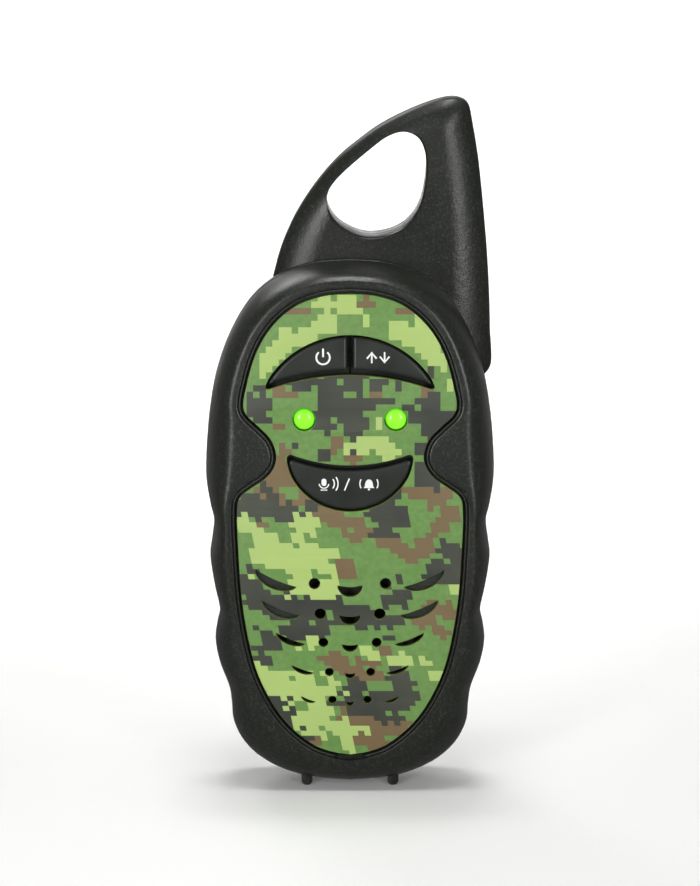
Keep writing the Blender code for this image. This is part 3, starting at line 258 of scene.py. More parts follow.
BROWN_PATCHES = [
    (4.2, 123.0, 2.0, 1.4, 0), (-12.3, 121.0, 2.9, 1.1, 0), (13.0, 121.2, 1.9, 1.1, 0),
    (-16.6, 101.2, 3.0, 1.1, 0), (-17.1, 93.0, 2.1, 0.8, 0), (-3.0, 88.8, 1.8, 1.9, 0),
    (0.6, 85.2, 2.0, 1.7, 0), (5.6, 101.2, 1.4, 1.0, 0), (4.8, 98.8, 0.9, 1.2, 0),
    (18.8, 101.6, 1.4, 1.0, 0), (-16.2, 84.6, 2.4, 3.6, 0), (-17.4, 79.4, 4.8, 3.0, 15),
    (-14.6, 75.2, 3.8, 3.4, 0), (-11.4, 77.4, 2.4, 2.0, 0), (19.6, 76.8, 5.6, 1.5, -5),
    (20.8, 74.2, 2.6, 2.0, 0), (24.4, 71.2, 2.6, 1.7, 20), (22.0, 68.0, 2.6, 2.6, 30),
    (-5.4, 71.4, 3.6, 1.6, 0), (-0.6, 69.0, 4.8, 1.8, -8), (3.2, 66.0, 3.6, 1.8, 0),
    (10.2, 63.4, 3.6, 1.5, -12), (13.8, 61.0, 2.8, 1.4, -20), (18.6, 63.6, 2.6, 2.1, 30),
    (17.0, 60.6, 1.3, 1.3, 0), (-14.2, 61.9, 1.7, 1.4, 0), (-21.2, 68.4, 2.0, 0.8, 0),
    (-0.8, 57.4, 2.0, 2.8, 0), (-3.7, 50.6, 2.2, 1.8, 0), (22.0, 47.4, 3.8, 2.0, -5),
    (18.4, 44.0, 2.8, 1.7, -10), (21.8, 41.8, 2.2, 1.6, 0), (-4.6, 34.8, 3.2, 1.7, 0),
    (-0.8, 32.0, 3.8, 1.3, 0), (3.6, 33.8, 3.4, 1.0, 0), (5.2, 30.2, 2.8, 1.3, 0),
    (8.6, 36.8, 2.2, 1.3, 0), (3.2, 19.4, 5.6, 2.0, -10), (10.4, 16.6, 6.8, 2.8, -5),
    (5.0, 13.0, 4.8, 2.4, 0), (-9.2, 13.8, 2.0, 1.2, 0),
]
MIDDLE_BITS = [
    (-14.8, 76.8, 1.8, 1.7, 0), (-1.6, 104.4, 0.9, 0.9, 0), (-8.1, 101.5, 0.9, 0.9, 0),
    (0.1, 101.2, 0.9, 0.9, 0), (3.3, 102.2, 0.8, 1.7, 0), (-24.2, 40.2, 1.9, 2.0, 0),
    (-4.6, 45.4, 0.9, 1.2, 0), (-17.4, 55.2, 2.4, 2.6, 0), (-7.2, 55.8, 1.9, 0.8, 0),
    (-10.0, 65.3, 1.0, 0.8, 0), (-6.8, 28.8, 1.0, 1.8, 0), (-13.8, 29.6, 0.9, 0.8, 0),
    (-11.8, 22.4, 1.0, 1.0, 0), (6.6, 27.6, 3.0, 1.4, 0), (9.6, 20.4, 1.0, 0.9, 0),
    (-6.6, 16.2, 1.0, 0.8, 0), (15.4, 16.4, 1.2, 1.1, 0),
]
CELL_WIDTH = 1.56
CELL_HEIGHT = 1.56
LOW_CELL_HEIGHT = 1.30
LEAN_STARTS_Z = 72.0
LEAN = 0.20
EXTRA_CELLS = 1 / LOW_CELL_HEIGHT - 1 / CELL_HEIGHT


def at(x, y, z):
    """A point in millimetres from the parting plane, in the frame's metres."""
    return Vector((x * MM, y * MM + PARTING_Y, z * MM))


# ---------------------------------------------------------------- outlines

def smooth_curve(points, per_span, closed=False):
    """Points along a Catmull-Rom curve through the given ones."""
    count = len(points)
    vectors = [Vector(point) for point in points]
    spans = count if closed else count - 1
    curve = []
    for span in range(spans):
        if closed:
            a, b, c, d = (vectors[(span + step) % count] for step in (-1, 0, 1, 2))
        else:
            b, c = vectors[span], vectors[span + 1]
            a = vectors[span - 1] if span else b + (b - c)
            d = vectors[span + 2] if span + 2 < count else c + (c - b)
        for step in range(per_span):
            t = step / per_span
            middle = (c - a) * t + (2 * a - 5 * b + 4 * c - d) * t**2 + (3 * b - a - 3 * c + d) * t**3
            curve.append(b + middle / 2)
    if not closed:
        curve.append(vectors[-1])
    return curve


def even_spacing(curve, count):
    """The open curve again, with count points at equal distances along it."""
    lengths = [0.0]
    for here, there in zip(curve, curve[1:]):
        lengths.append(lengths[-1] + (there - here).length)
    points = []
    span = 0
    for index in range(count):
        target = lengths[-1] * index / (count - 1)
        while span < len(curve) - 2 and lengths[span + 1] < target:
            span += 1
        part = (target - lengths[span]) / (lengths[span + 1] - lengths[span])
        points.append(curve[span].lerp(curve[span + 1], min(max(part, 0.0), 1.0)))
    return points


def whole_outline(half, count=RING_POINTS):
    """A closed outline from its right half, clockwise from the top."""
    right = even_spacing(smooth_curve(half, 12), count // 2 + 1)
    left = [Vector((-point.x, point.y)) for point in reversed(right[1:-1])]
    return right + left


def offset_outline(outline, distance):
    """The clockwise outline moved outwards by a distance, or a distance for each point."""
    if not isinstance(distance, list):
        distance = [distance] * len(outline)
    moved = []
    for index, (point, by) in enumerate(zip(outline, distance)):
        along = outline[(index + 1) % len(outline)] - outline[index - 1]
        moved.append(point + Vector((-along.y, along.x)).normalized() * by)
    return moved


def relaxed(outline, rounds):
    """The outline with its waves evened out."""
    for _ in range(rounds):
        before = outline
        outline = [
            (before[index - 1] + before[index] * 2 + before[(index + 1) % len(before)]) / 4
            for index in range(len(before))
        ]
    return outline


def circle_outline(x, z, radius, count=40):
    """A clockwise circle."""
    turns = [2 * math.pi * index / count for index in range(count)]
    return [Vector((x + radius * math.sin(turn), z + radius * math.cos(turn))) for turn in turns]


def quarter_round(steps):
    """(sine, cosine) at even steps of a quarter turn, without its start."""
    turns = [math.pi / 2 * step / steps for step in range(1, steps + 1)]
    return [(math.sin(turn), math.cos(turn)) for turn in turns]


def level(outline, y):
    """The outline's points at one depth."""
    return [(point.x, y, point.y) for point in outline]


def box_outline(x_low, z_low, x_high, z_high, corner, steps=8):
    """A clockwise rectangle with rounded corners."""
    centres = [
        (x_high - corner, z_high - corner), (x_high - corner, z_low + corner),
        (x_low + corner, z_low + corner), (x_low + corner, z_high - corner),
    ]
    points = []
    for quarter, (x, z) in enumerate(centres):
        for step in range(steps + 1):
            turn = math.pi / 2 * (quarter + step / steps)
            points.append(Vector((x + corner * math.sin(turn), z + corner * math.cos(turn))))
    return points


def segment_outline(tip_a, tip_b, drop, grow=0.0, fullness=0.5, steps=20):
    """A slot with a nearly straight upper edge and a lower edge that bows down by drop."""
    a, b = Vector(tip_a), Vector(tip_b)
    if a.x > b.x:
        a, b = b, a
    along = (b - a).normalized()
    down = Vector((along.y, -along.x))
    a = a - along * grow
    b = b + along * grow
    points = []
    for step in range(steps + 1):
        t = (1 - math.cos(math.pi * step / steps)) / 2
        points.append(a.lerp(b, t) + down * (0.15 * drop * math.sin(math.pi * t) - grow * (0 < t < 1)))
    for step in range(1, steps):
        t = (1 + math.cos(math.pi * step / steps)) / 2
        bow = (4 * t * (1 - t)) ** fullness
        points.append(a.lerp(b, t) + down * ((drop + grow) * bow))
    return points


def grille_outlines(grow=0.0, open_from_row=0):
    """The speaker's holes and slots. The outer slots start at the given row."""
    outlines = []
    for row, (hole, smile, slot) in enumerate(GRILLE_ROWS):
        half_width, top, drop = smile
        (x_a, z_a), (x_b, z_b), slot_drop = slot
        outlines.append(segment_outline((-half_width, top), (half_width, top), drop, grow, 0.52))
        for side in (-1, 1):
            outlines.append(circle_outline(side * hole[0], hole[1], hole[2] + grow, 24))
            if row >= open_from_row:
                tips = (side * x_a, z_a), (side * x_b, z_b)
                outlines.append(segment_outline(*tips, slot_drop * 1.1, grow, 0.62))
    return outlines


def sagging(x, top, radius):
    """Height of an arc that falls away from its middle."""
    return top - radius + math.sqrt(radius**2 - x**2)


def without_doubles(points):
    """The points, less any that lies on its neighbour."""
    kept = []
    for point in points:
        if all((point - other).length > 0.03 for other in kept[-1:] + kept[:1]):
            kept.append(point)
    return kept


def closed_crescent(columns):
    """A clockwise outline from (x, high, low, end). An end from 0 to 1 squeezes the tip to a round one."""
    upper, lower = [], []
    for x, high, low, end in columns:
        middle = (high + low) / 2
        squeeze = max(0.0, 1 - end**TIP_BLUNTNESS) ** (1 / TIP_BLUNTNESS)
        upper.append(Vector((x, middle + (high - middle) * squeeze)))
        lower.append(Vector((x, middle + (low - middle) * squeeze)))
    return without_doubles(upper + lower[::-1])


def brow_outline(grow, x_from=-BROW_TIP_X, x_to=BROW_TIP_X, steps=64, lift=0.0):
    """The crescent of the two upper keys, between two arcs, with its lower arc raised by lift."""
    squeezed_from = 0.93
    columns = []
    for step in range(steps + 1):
        x = (x_from + x_to) / 2 - (x_to - x_from) / 2 * math.cos(math.pi * step / steps)
        reach = min(abs(x) / (BROW_TIP_X + grow), 1.0)
        high = sagging(x, BROW_TOP_Z + grow, BROW_TOP_RADIUS + grow)
        low = sagging(x, BROW_HOLLOW_Z - grow + lift, BROW_HOLLOW_RADIUS - grow)
        columns.append((x, high, low, max(0.0, (reach - squeezed_from) / 0.07)))
    return closed_crescent(columns)


def talk_outline(grow, steps=60, lower=0.0):
    """The talk key: a half moon whose hollow upper edge is brought down by lower."""
    half_width = TALK_HALF_WIDTH + grow
    hollow = TALK_HOLLOW_RADIUS
    columns = []
    for step in range(steps + 1):
        x = -half_width * math.cos(math.pi * step / steps)
        high = TALK_HOLLOW_Z + grow - lower + hollow - math.sqrt(hollow**2 - x**2)
        low = TALK_ROUND_Z - math.sqrt(max((TALK_ROUND_RADIUS + grow) ** 2 - x**2, 0.0))
        columns.append((x, high, low, max(0.0, (abs(x) / half_width - 0.9) / 0.1)))
    return closed_crescent(columns)


def brow_key_outline(side, grow, lift=0.0):
    """The left (side -1) or right part of the crescent."""
    inner = side * (KEY_DIVIDER / 2 - (grow * 0.35 if grow > 0 else grow + KEY_CLEARANCE))
    outer = side * (BROW_TIP_X + grow)
    return brow_outline(grow, min(inner, outer), max(inner, outer), 60, lift)


# ---------------------------------------------------------------- the curved front

def face_drop(z):
    """How far the curved front lies behind its foremost line at a height."""
    return FACE_RADIUS - math.sqrt(FACE_RADIUS**2 - (z - FACE_APEX_Z) ** 2)


def face_y(z):
    """Depth of the curved front at a height."""
    return FACE_FRONT + face_drop(z)


def smooth_step(value):
    """The value from 0 to 1 with its start and end eased."""
    value = min(max(value, 0.0), 1.0)
    return value * value * (3 - 2 * value)


# ---------------------------------------------------------------- solids

def in_scene(name, data):
    """A new object that holds the data, linked to the scene."""
    obj = bpy.data.objects.new(name, data)
    bpy.context.scene.collection.objects.link(obj)
    return obj


def put(name, mesh, material=None, angle=35):
    """A mesh object with one material, sharp along edges over the angle in degrees."""
    obj = in_scene(name, mesh)
    mesh.materials.clear()
    if material:
        mesh.materials.append(material)
    mesh.shade_smooth()
    if angle is not None:
        mesh.set_sharp_from_angle(angle=math.radians(angle))
    return obj


def mesh_of(model, name="shape"):
    """A mesh from the model, which is used up."""
    bmesh.ops.recalc_face_normals(model, faces=model.faces)
    mesh = bpy.data.meshes.new(name)
    model.to_mesh(mesh)
    model.free()
    return mesh


def model_of(*meshes):
    """One model from the meshes, which are used up."""
    model = bmesh.new()
    for mesh in meshes:
        model.from_mesh(mesh)
        bpy.data.meshes.remove(mesh)
    return model


def evaluated_mesh(obj, helpers=()):
    """The object's mesh as its curve or modifiers make it. The object and its helpers are removed."""
    bpy.context.view_layer.update()
    mesh = bpy.data.meshes.new_from_object(obj.evaluated_get(bpy.context.evaluated_depsgraph_get()))
    bpy.data.batch_remove([item for used in (obj, *helpers) for item in (used, used.data)])
    return mesh


def bridge(model, row, next_row):
    """Faces between two rings of vertices, either of which may be a single one."""
    for index in range(max(len(row), len(next_row))):
        after = index + 1
        corners = [row[index % len(row)], row[after % len(row)]]
        corners += [next_row[after % len(next_row)], next_row[index % len(next_row)]]
        corners = list(dict.fromkeys(corners))
        if len(corners) > 2:
            model.faces.new(corners)


def loft(rings, closed=False):
    """A solid through rings of (x, y, z). Closed joins the last ring to the first; else both are filled."""
    model = bmesh.new()
    rows = [[model.verts.new(at(*point)) for point in ring] for ring in rings]
    for row, next_row in zip(rows, rows[1:]):
        bridge(model, row, next_row)
    if closed:
        bridge(model, rows[-1], rows[0])
    else:
        model.faces.new(rows[0])
        model.faces.new(rows[-1])
    return mesh_of(model)


def poly_spline(curve, points):
    """A straight-sided spline through the points, in metres."""
    spline = curve.splines.new("POLY")
    spline.points.add(len(points) - 1)
    for point, place in zip(spline.points, points):
        point.co = (*place, 1.0)
    return spline


def flat_mesh(outlines, front, back, rounding=0.0, bent=False):
    """Outlines in x and z made solid between two depths, with rounded edges, and curved as the front is."""
    curve = bpy.data.curves.new("outline", "CURVE")
    curve.dimensions = "2D"
    curve.fill_mode = "BOTH"
    curve.extrude = ((back - front) / 2 - rounding) * MM
    curve.bevel_depth = rounding * MM
    curve.offset = -rounding * MM
    curve.bevel_resolution = 3
    for outline in outlines:
        spline = poly_spline(curve, [(point.x * MM, point.y * MM, 0.0) for point in outline])
        spline.use_cyclic_u = True
    model = model_of(evaluated_mesh(in_scene("outline", curve)))
    bmesh.ops.remove_doubles(model, verts=model.verts, dist=0.000004)
    middle = (front + back) / 2
    for vert in model.verts:
        vert.co = at(vert.co.x / MM, middle - vert.co.z / MM, vert.co.y / MM)
    return bend(mesh_of(model)) if bent else mesh_of(model)


def bend(mesh):
    """The mesh cut into level strips and curved as the front is."""
    strip = 2.5
    model = model_of(mesh)
    heights = [vert.co.z / MM for vert in model.verts]
    height = math.ceil(min(heights) / strip) * strip
    while height < max(heights):
        bmesh.ops.bisect_plane(
            model,
            geom=model.verts[:] + model.edges[:] + model.faces[:],
            plane_co=(0.0, 0.0, height * MM),
            plane_no=(0.0, 0.0, 1.0),
            dist=0.0000001,
        )
        height += strip
    for vert in model.verts:
        vert.co.y += face_drop(vert.co.z / MM) * MM
    return mesh_of(model)


def box_mesh(low, high):
    """A box between two opposite corners."""
    model = bmesh.new()
    bmesh.ops.create_cube(model, size=1.0)
    low, high = at(*low), at(*high)
    for vert in model.verts:
        sides = zip(low, high, vert.co)
        vert.co = Vector((start + end) / 2 + part * (end - start) for start, end, part in sides)
    return mesh_of(model)


def turned_mesh(profile, start, direction, sides=40):
    """A profile of (radius, height) turned about an axis. Its first and last points lie on the axis."""
    model = bmesh.new()
    turn = Vector(direction).to_track_quat("Z", "Y").to_matrix()
    base = at(*start)
    turns = [2 * math.pi * side / sides for side in range(sides)]
    rows = []
    for radius, height in profile:
        rows.append([
            model.verts.new(base + turn @ Vector((radius * math.cos(t), radius * math.sin(t), height)) * MM)
            for t in (turns if radius else [0.0])
        ])
    for row, next_row in zip(rows, rows[1:]):
        bridge(model, row, next_row)
    return mesh_of(model)


def cylinder_mesh(start, end, radius, sides=40):
    """A cylinder between the middles of its two ends."""
    along = Vector(end) - Vector(start)
    length = along.length
    return turned_mesh([(0, length), (radius, length), (radius, 0), (0, 0)], start, along, sides)


def shaped(mesh, added=(), cut=()):
    """The mesh with the added solids joined to it, and then the cut ones taken away."""
    base = in_scene("base", mesh)
    tools = []
    for operation, solids in (("UNION", added), ("DIFFERENCE", cut)):
        for solid in solids:
            tools.append(in_scene("tool", solid))
            modifier = base.modifiers.new("shape", "BOOLEAN")
            modifier.operation = operation
            modifier.object = tools[-1]
            modifier.solver = "EXACT"
    return evaluated_mesh(base, tools)


def wire(name, points, radius, material):
    """A round wire through the points, with closed ends, as a mesh."""
    curve = bpy.data.curves.new(name, "CURVE")
    curve.dimensions = "3D"
    curve.bevel_depth = radius * MM
    curve.bevel_resolution = 4
    curve.use_fill_caps = True
    poly_spline(curve, [at(*place) for place in points])
    return put(name, evaluated_mesh(in_scene(name + "_path", curve)), material, None)


def piece(name, mesh, material, body, replaced, angle=35):
    """A finished piece that rides on a body and stands for CAD nodes."""
    obj = put(name, mesh, material, angle)
    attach(obj, body)
    if replaced:
        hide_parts(*replaced)
    return obj


# ---------------------------------------------------------------- materials

def linear(colour):
    """A colour of three values from 0 to 255, as light."""
    parts = [value / 255 for value in colour]
    return tuple(part / 12.92 if part <= 10 / 255 else ((part + 0.055) / 1.055) ** 2.4 for part in parts)


class Shader:
    """A material and short ways to add nodes to it."""

    def __init__(self, name, colour, roughness, metallic=0.0):
        """The plain values show wherever no node is fed to the surface."""
        self.material = bpy.data.materials.new(name)
        self.material.use_nodes = True
        self.tree = self.material.node_tree
        self.surface = self.tree.nodes["Principled BSDF"]
        self.surface.inputs["Base Color"].default_value = (*linear(colour), 1.0)
        self.surface.inputs["Roughness"].default_value = roughness
        self.surface.inputs["Metallic"].default_value = metallic
        self.place = self.add("ShaderNodeTexCoord").outputs["Object"]

    def add(self, kind, inputs=(), **settings):
        """A node, its inputs linked to sockets or set to values."""
        node = self.tree.nodes.new(kind)
        for key, value in settings.items():
            setattr(node, key, value)
        for key, value in dict(inputs).items():
            if isinstance(value, bpy.types.NodeSocket):
                self.tree.links.new(value, node.inputs[key])
            else:
                node.inputs[key].default_value = value
        return node

    def finish(self, colour, normal=None, roughness=None):
        """The material, with its surface fed by the given sockets."""
        for key, socket in (("Base Color", colour), ("Normal", normal), ("Roughness", roughness)):
            if socket is not None:
                self.tree.links.new(socket, self.surface.inputs[key])
        return self.material

    def glow(self, colour, strength):
        """The surface shines a little in the given colour."""
        self.tree.links.new(colour, self.surface.inputs["Emission Color"])
        self.surface.inputs["Emission Strength"].default_value = strength

    def math(self, operation, *values):
        """One sum on sockets or numbers."""
        return self.add("ShaderNodeMath", enumerate(values), operation=operation).outputs[0]

    def vector(self, operation, *values):
        """One sum on vectors. LENGTH gives a number."""
        node = self.add("ShaderNodeVectorMath", enumerate(values), operation=operation)
        return node.outputs["Value" if operation == "LENGTH" else "Vector"]

    def parts(self, vector=None):
        """The three parts of a vector, or of the place on the object."""
        return self.add("ShaderNodeSeparateXYZ", {"Vector": vector or self.place}).outputs

    def plane(self, across, up):
        """A vector from two parts."""
        return self.add("ShaderNodeCombineXYZ", {"X": across, "Y": up}).outputs[0]

    def mix(self, factor, first, second):
        """A mix of two colours, each a socket or three values from 0 to 255."""
        inputs = {0: factor, 6: first, 7: second}
        for key in (6, 7):
            if not isinstance(inputs[key], bpy.types.NodeSocket):
                inputs[key] = (*linear(inputs[key]), 1.0)
        return self.add("ShaderNodeMix", inputs, data_type="RGBA").outputs[2]

    def tint(self, value, first, second, low=0.3, high=0.7):
        """The first colour where the value is low, and the second where it is high."""
        return self.mix(self.spread(value, low, high, 0.0, 1.0), first, second)

    def noise(self, size, detail=2.0, vector=None, seed=0.0):
        """Noise from 0 to 1 whose lumps are about size millimetres across."""
        inputs = {"Vector": vector or self.place, "W": seed, "Scale": 0.7 / (size * MM), "Detail": detail}
        return self.add("ShaderNodeTexNoise", inputs, noise_dimensions="4D").outputs["Fac"]

    def spread(self, value, low, high, to_low, to_high):
        """The value mapped from one range to another, and kept inside it."""
        inputs = {"Value": value, "From Min": low, "From Max": high, "To Min": to_low, "To Max": to_high}
        return self.add("ShaderNodeMapRange", inputs, clamp=True).outputs["Result"]

    def bump(self, height, depth, below=None):
        """A normal from a height of 0 to 1 that stands for depth millimetres."""
        inputs = {"Height": height, "Distance": depth * MM, "Strength": 1.0}
        if below is not None:
            inputs["Normal"] = below
        return self.add("ShaderNodeBump", inputs).outputs["Normal"]


def grained_plastic(name, dark, light, roughness, grain, depth):
    """Moulded plastic with a spark-eroded grain, faint handling marks, and a paler grey on its sharpest
    convex edges.
    """
    shader = Shader(name, dark, roughness)
    fine = shader.noise(grain, 3.0)
    coarse = shader.noise(grain * 2.6, 2.0, seed=3.0)
    marks = shader.noise(16.0, 4.0, seed=7.0)
    colour = shader.tint(fine, dark, light, 0.51, 0.70)
    # Paler grey where the surface is most convex, along its sharp edges.
    edge = shader.spread(shader.add("ShaderNodeNewGeometry").outputs["Pointiness"], 0.53, 0.62, 0.0, 0.35)
    rough = shader.spread(marks, 0.3, 0.7, roughness - 0.06, roughness + 0.07)
    normal = shader.bump(fine, depth, shader.bump(coarse, depth * 1.3))
    return shader.finish(shader.mix(edge, colour, (70, 72, 70)), normal, rough)


def satin_plastic(name, dark, light, roughness):
    """Smooth moulded plastic with faint flow marks and fine scratches."""
    shader = Shader(name, dark, roughness)
    flow = shader.noise(5.0, 5.0)
    normal = shader.bump(shader.noise(0.12, 2.0, seed=2.0), 0.0035)
    rough = shader.spread(flow, 0.3, 0.7, roughness - 0.05, roughness + 0.06)
    return shader.finish(shader.tint(flow, dark, light, 0.35), normal, rough)


def metal(name, bright, dull, roughness):
    """Plated metal with a soft mottle and drawn scratches."""
    shader = Shader(name, bright, roughness, 1.0)
    mottle = shader.noise(2.0, 5.0)
    stretched = shader.add("ShaderNodeMapping", {"Vector": shader.place, "Scale": (1.0, 1.0, 0.08)})
    scratches = shader.noise(0.25, 3.0, stretched.outputs["Vector"], 4.0)
    rough = shader.spread(scratches, 0.3, 0.7, roughness - 0.08, roughness + 0.14)
    return shader.finish(shader.tint(mottle, bright, dull, 0.35), shader.bump(scratches, 0.003), rough)


def lamp_material():
    """A lit green lamp: a bright face with a darker rim, and faint haze inside the lens."""
    shader = Shader("green_lamp", (120, 240, 40), 0.16)
    x, _, z = shader.parts()
    across = shader.math("SUBTRACT", shader.math("ABSOLUTE", x), LED_X * MM)
    reach = shader.vector("LENGTH", shader.plane(across, shader.math("SUBTRACT", z, LED_Z * MM)))
    haze = shader.noise(0.8, 3.0)
    uneven = shader.math("ADD", reach, shader.math("MULTIPLY", haze, 0.00025))
    colour = shader.tint(uneven, (128, 246, 44), (52, 170, 28), 0.0022, 0.0029)
    shader.glow(colour, 0.55)
    return shader.finish(colour, roughness=shader.spread(haze, 0.3, 0.7, 0.12, 0.24))


def cell_place(x, z):
    """Where a point lies on the camouflage's grid, in cells."""
    below = min(z - LEAN_STARTS_Z, 0.0)
    return (x + below * LEAN) / CELL_WIDTH, z / CELL_HEIGHT + below * EXTRA_CELLS


def upright_ellipses(patches):
    """The patches as upright ellipses: one that leans becomes three smaller ones along it."""
    for x, z, half_width, half_height, lean in patches:
        if lean == 0:
            yield x, z, half_width, half_height
            continue
        turn = math.radians(lean)
        for step in (-0.45, 0.0, 0.45):
            shift = half_width * step
            yield x + shift * math.cos(turn), z + shift * math.sin(turn), half_width * 0.62, half_height


def camo_material():
    """Digital camouflage in square cells of four inks, on an olive plastic that shows in the holes."""
    shader = Shader("camo_print", (102, 143, 72), 0.42)
    x, z = (shader.math("MULTIPLY", shader.parts()[part], 1 / MM) for part in ("X", "Z"))
    below = shader.math("MINIMUM", shader.math("SUBTRACT", z, LEAN_STARTS_Z), 0.0)
    across = shader.math("DIVIDE", shader.math("MULTIPLY_ADD", below, LEAN, x), CELL_WIDTH)
    up = shader.math("MULTIPLY_ADD", below, EXTRA_CELLS, shader.math("DIVIDE", z, CELL_HEIGHT))
    corner = shader.vector("FLOOR", shader.plane(across, up))
    cell = shader.vector("ADD", corner, (0.5, 0.5, 0.0))

    def ragged(seed):
        """An uneven edge: the same all over a cell, and partly shared with the cells beside it."""
        moved = shader.vector("ADD", corner, (seed, seed * 2, 0.0))
        white = shader.add("ShaderNodeTexWhiteNoise", {"Vector": moved}, noise_dimensions="2D")
        inputs = {"Vector": moved, "Scale": 0.37, "Detail": 1.0}
        shared = shader.add("ShaderNodeTexNoise", inputs, noise_dimensions="2D").outputs["Fac"]
        single = shader.math("MULTIPLY", white.outputs["Value"], 0.52)
        spread = shader.math("MULTIPLY_ADD", shared, 0.95, single)
        return shader.math("SUBTRACT", spread, 0.735)

    def mask(patches, seed, limit, loose=1.0):
        """1 in the cells that the patches cover."""
        near = None
        for x_mid, z_mid, half_width, half_height in upright_ellipses(patches):
            across_mid, up_mid = cell_place(x_mid, z_mid)
            wide = CELL_WIDTH / half_width
            high = (CELL_HEIGHT if z_mid > LEAN_STARTS_Z else LOW_CELL_HEIGHT) / half_height
            middle = (-across_mid * wide, -up_mid * high, 0.0)
            inside = shader.vector("MULTIPLY_ADD", cell, (wide, high, 0.0), middle)
            reach = shader.vector("LENGTH", inside)
            near = reach if near is None else shader.math("MINIMUM", near, reach)
        return shader.math("LESS_THAN", shader.math("MULTIPLY_ADD", ragged(seed), loose, near), limit)

    colour = shader.tint(shader.noise(0.9, 4.0), (95, 136, 66), (105, 146, 74), 0.35, 0.65)
    for patches, seed, limit, ink, loose in (
        (BROWN_PATCHES, 11.0, 1.06, (116, 96, 66), 1.0),
        (DARK_PATCHES, 23.0, 1.06, (57, 59, 55), 1.0),
        (LIGHT_PATCHES, 37.0, 0.98, (168, 194, 110), 1.0),
        (MIDDLE_BITS, 53.0, 1.1, (100, 141, 70), 0.4),
    ):
        colour = shader.mix(mask(patches, seed, limit, loose), colour, ink)
    soft = shader.noise(14.0, 3.0, seed=5.0)
    colour = shader.mix(shader.spread(soft, 0.35, 0.7, 0.0, 0.10), colour, (138, 148, 98))
    facing = shader.parts(shader.add("ShaderNodeNewGeometry").outputs["Normal"])
    printed = shader.math("LESS_THAN", facing["Y"], -0.8)
    normal = shader.bump(shader.noise(0.16, 2.0, seed=9.0), 0.004)
    rough = shader.spread(soft, 0.3, 0.7, 0.36, 0.46)
    return shader.finish(shader.mix(printed, (112, 126, 42), colour), normal, rough)


def white_print():
    """Pad-printed white ink, slightly uneven."""
    shader = Shader("white_print", (238, 240, 238), 0.55)
    uneven = shader.noise(0.35, 3.0)
    return shader.finish(shader.tint(uneven, (228, 231, 229), (246, 247, 246)), shader.bump(uneven, 0.004))


def board_material():
    """Green laminate with a faint weave and lighter tracks under the lacquer."""
    shader = Shader("board_green", (18, 96, 44), 0.35)
    wave = {"Vector": shader.place, "Scale": 900.0, "Distortion": 1.0}
    weave = shader.add("ShaderNodeTexWave", wave).outputs["Fac"]
    cells = {"Vector": shader.place, "Scale": 420.0}
    tracks = shader.add("ShaderNodeTexVoronoi", cells, feature="DISTANCE_TO_EDGE").outputs["Distance"]
    colour = shader.mix(shader.spread(tracks, 0.06, 0.09, 1.0, 0.0), (14, 84, 38), (40, 128, 62))
    colour = shader.mix(shader.math("MULTIPLY", weave, 0.15), colour, (60, 120, 60))
    return shader.finish(colour, shader.bump(weave, 0.004))


def cell_wrap_material():
    """A battery's printed film: dark blue with copper bands."""
    shader = Shader("cell_wrap", (24, 40, 84), 0.30)
    film = shader.noise(7.0, 4.0)
    band = shader.math("PINGPONG", shader.math("ADD", shader.parts()["Z"], 0.004), 0.020)
    colour = shader.mix(
        shader.math("LESS_THAN", band, 0.0055), shader.tint(film, (20, 34, 76), (30, 48, 98)), (168, 112, 60)
    )
    return shader.finish(colour, shader.bump(film, 0.02), shader.spread(film, 0.3, 0.7, 0.24, 0.36))


def rubber_material(name, colour, light):
    """Matt rubber or paper with a faint bloom."""
    shader = Shader(name, colour, 0.7)
    normal = shader.bump(shader.noise(0.1, 2.0, seed=2.0), 0.004)
    return shader.finish(shader.tint(shader.noise(1.2, 4.0), colour, light), normal)


def floor_material():
    """A pale floor that glows very slightly."""
    shader = Shader("pale_floor", (246, 246, 245), 0.6)
    colour = shader.tint(shader.noise(60.0, 3.0), (245, 245, 244), (248, 248, 247))
    shader.glow(colour, 0.06)
    return shader.finish(colour)


BLACK = grained_plastic("black_plastic", (29, 32, 27), (57, 59, 52), 0.34, 0.38, 0.045)
POLISHED = satin_plastic("polished_black", (24, 26, 25), (30, 32, 31), 0.18)
KEY_BLACK = satin_plastic("key_plastic", (35, 38, 34), (41, 44, 40), 0.33)
CAMO = camo_material()
LAMP = lamp_material()
WHITE = white_print()
STEEL = metal("tin_steel", (200, 200, 196), (168, 168, 164), 0.30)
SCREW_STEEL = metal("screw_steel", (150, 150, 150), (110, 110, 112), 0.36)
COPPER = metal("copper_wire", (214, 136, 92), (176, 100, 62), 0.30)
BOARD = board_material()
CHIP = satin_plastic("chip_black", (26, 26, 28), (36, 36, 38), 0.5)
CELL_WRAP = cell_wrap_material()
SILICONE = rubber_material("silicone_rubber", (150, 152, 152), (170, 172, 172))
PAPER = rubber_material("paper_cone", (48, 47, 46), (66, 64, 62))
RED_LEAD = satin_plastic("lead_red", (176, 26, 24), (196, 34, 30), 0.4)
BLACK_LEAD = satin_plastic("lead_black", (30, 30, 32), (42, 42, 44), 0.4)


# ---------------------------------------------------------------- housings

def edge_profile(roundness, steps):
    """(how far in, how deep) from 0 to 1 along a rounded edge."""
    turns = [math.pi / 2 * step / steps for step in range(steps + 1)]
    return [(1 - math.cos(t) ** (2 / roundness), math.sin(t) ** (2 / roundness)) for t in turns]


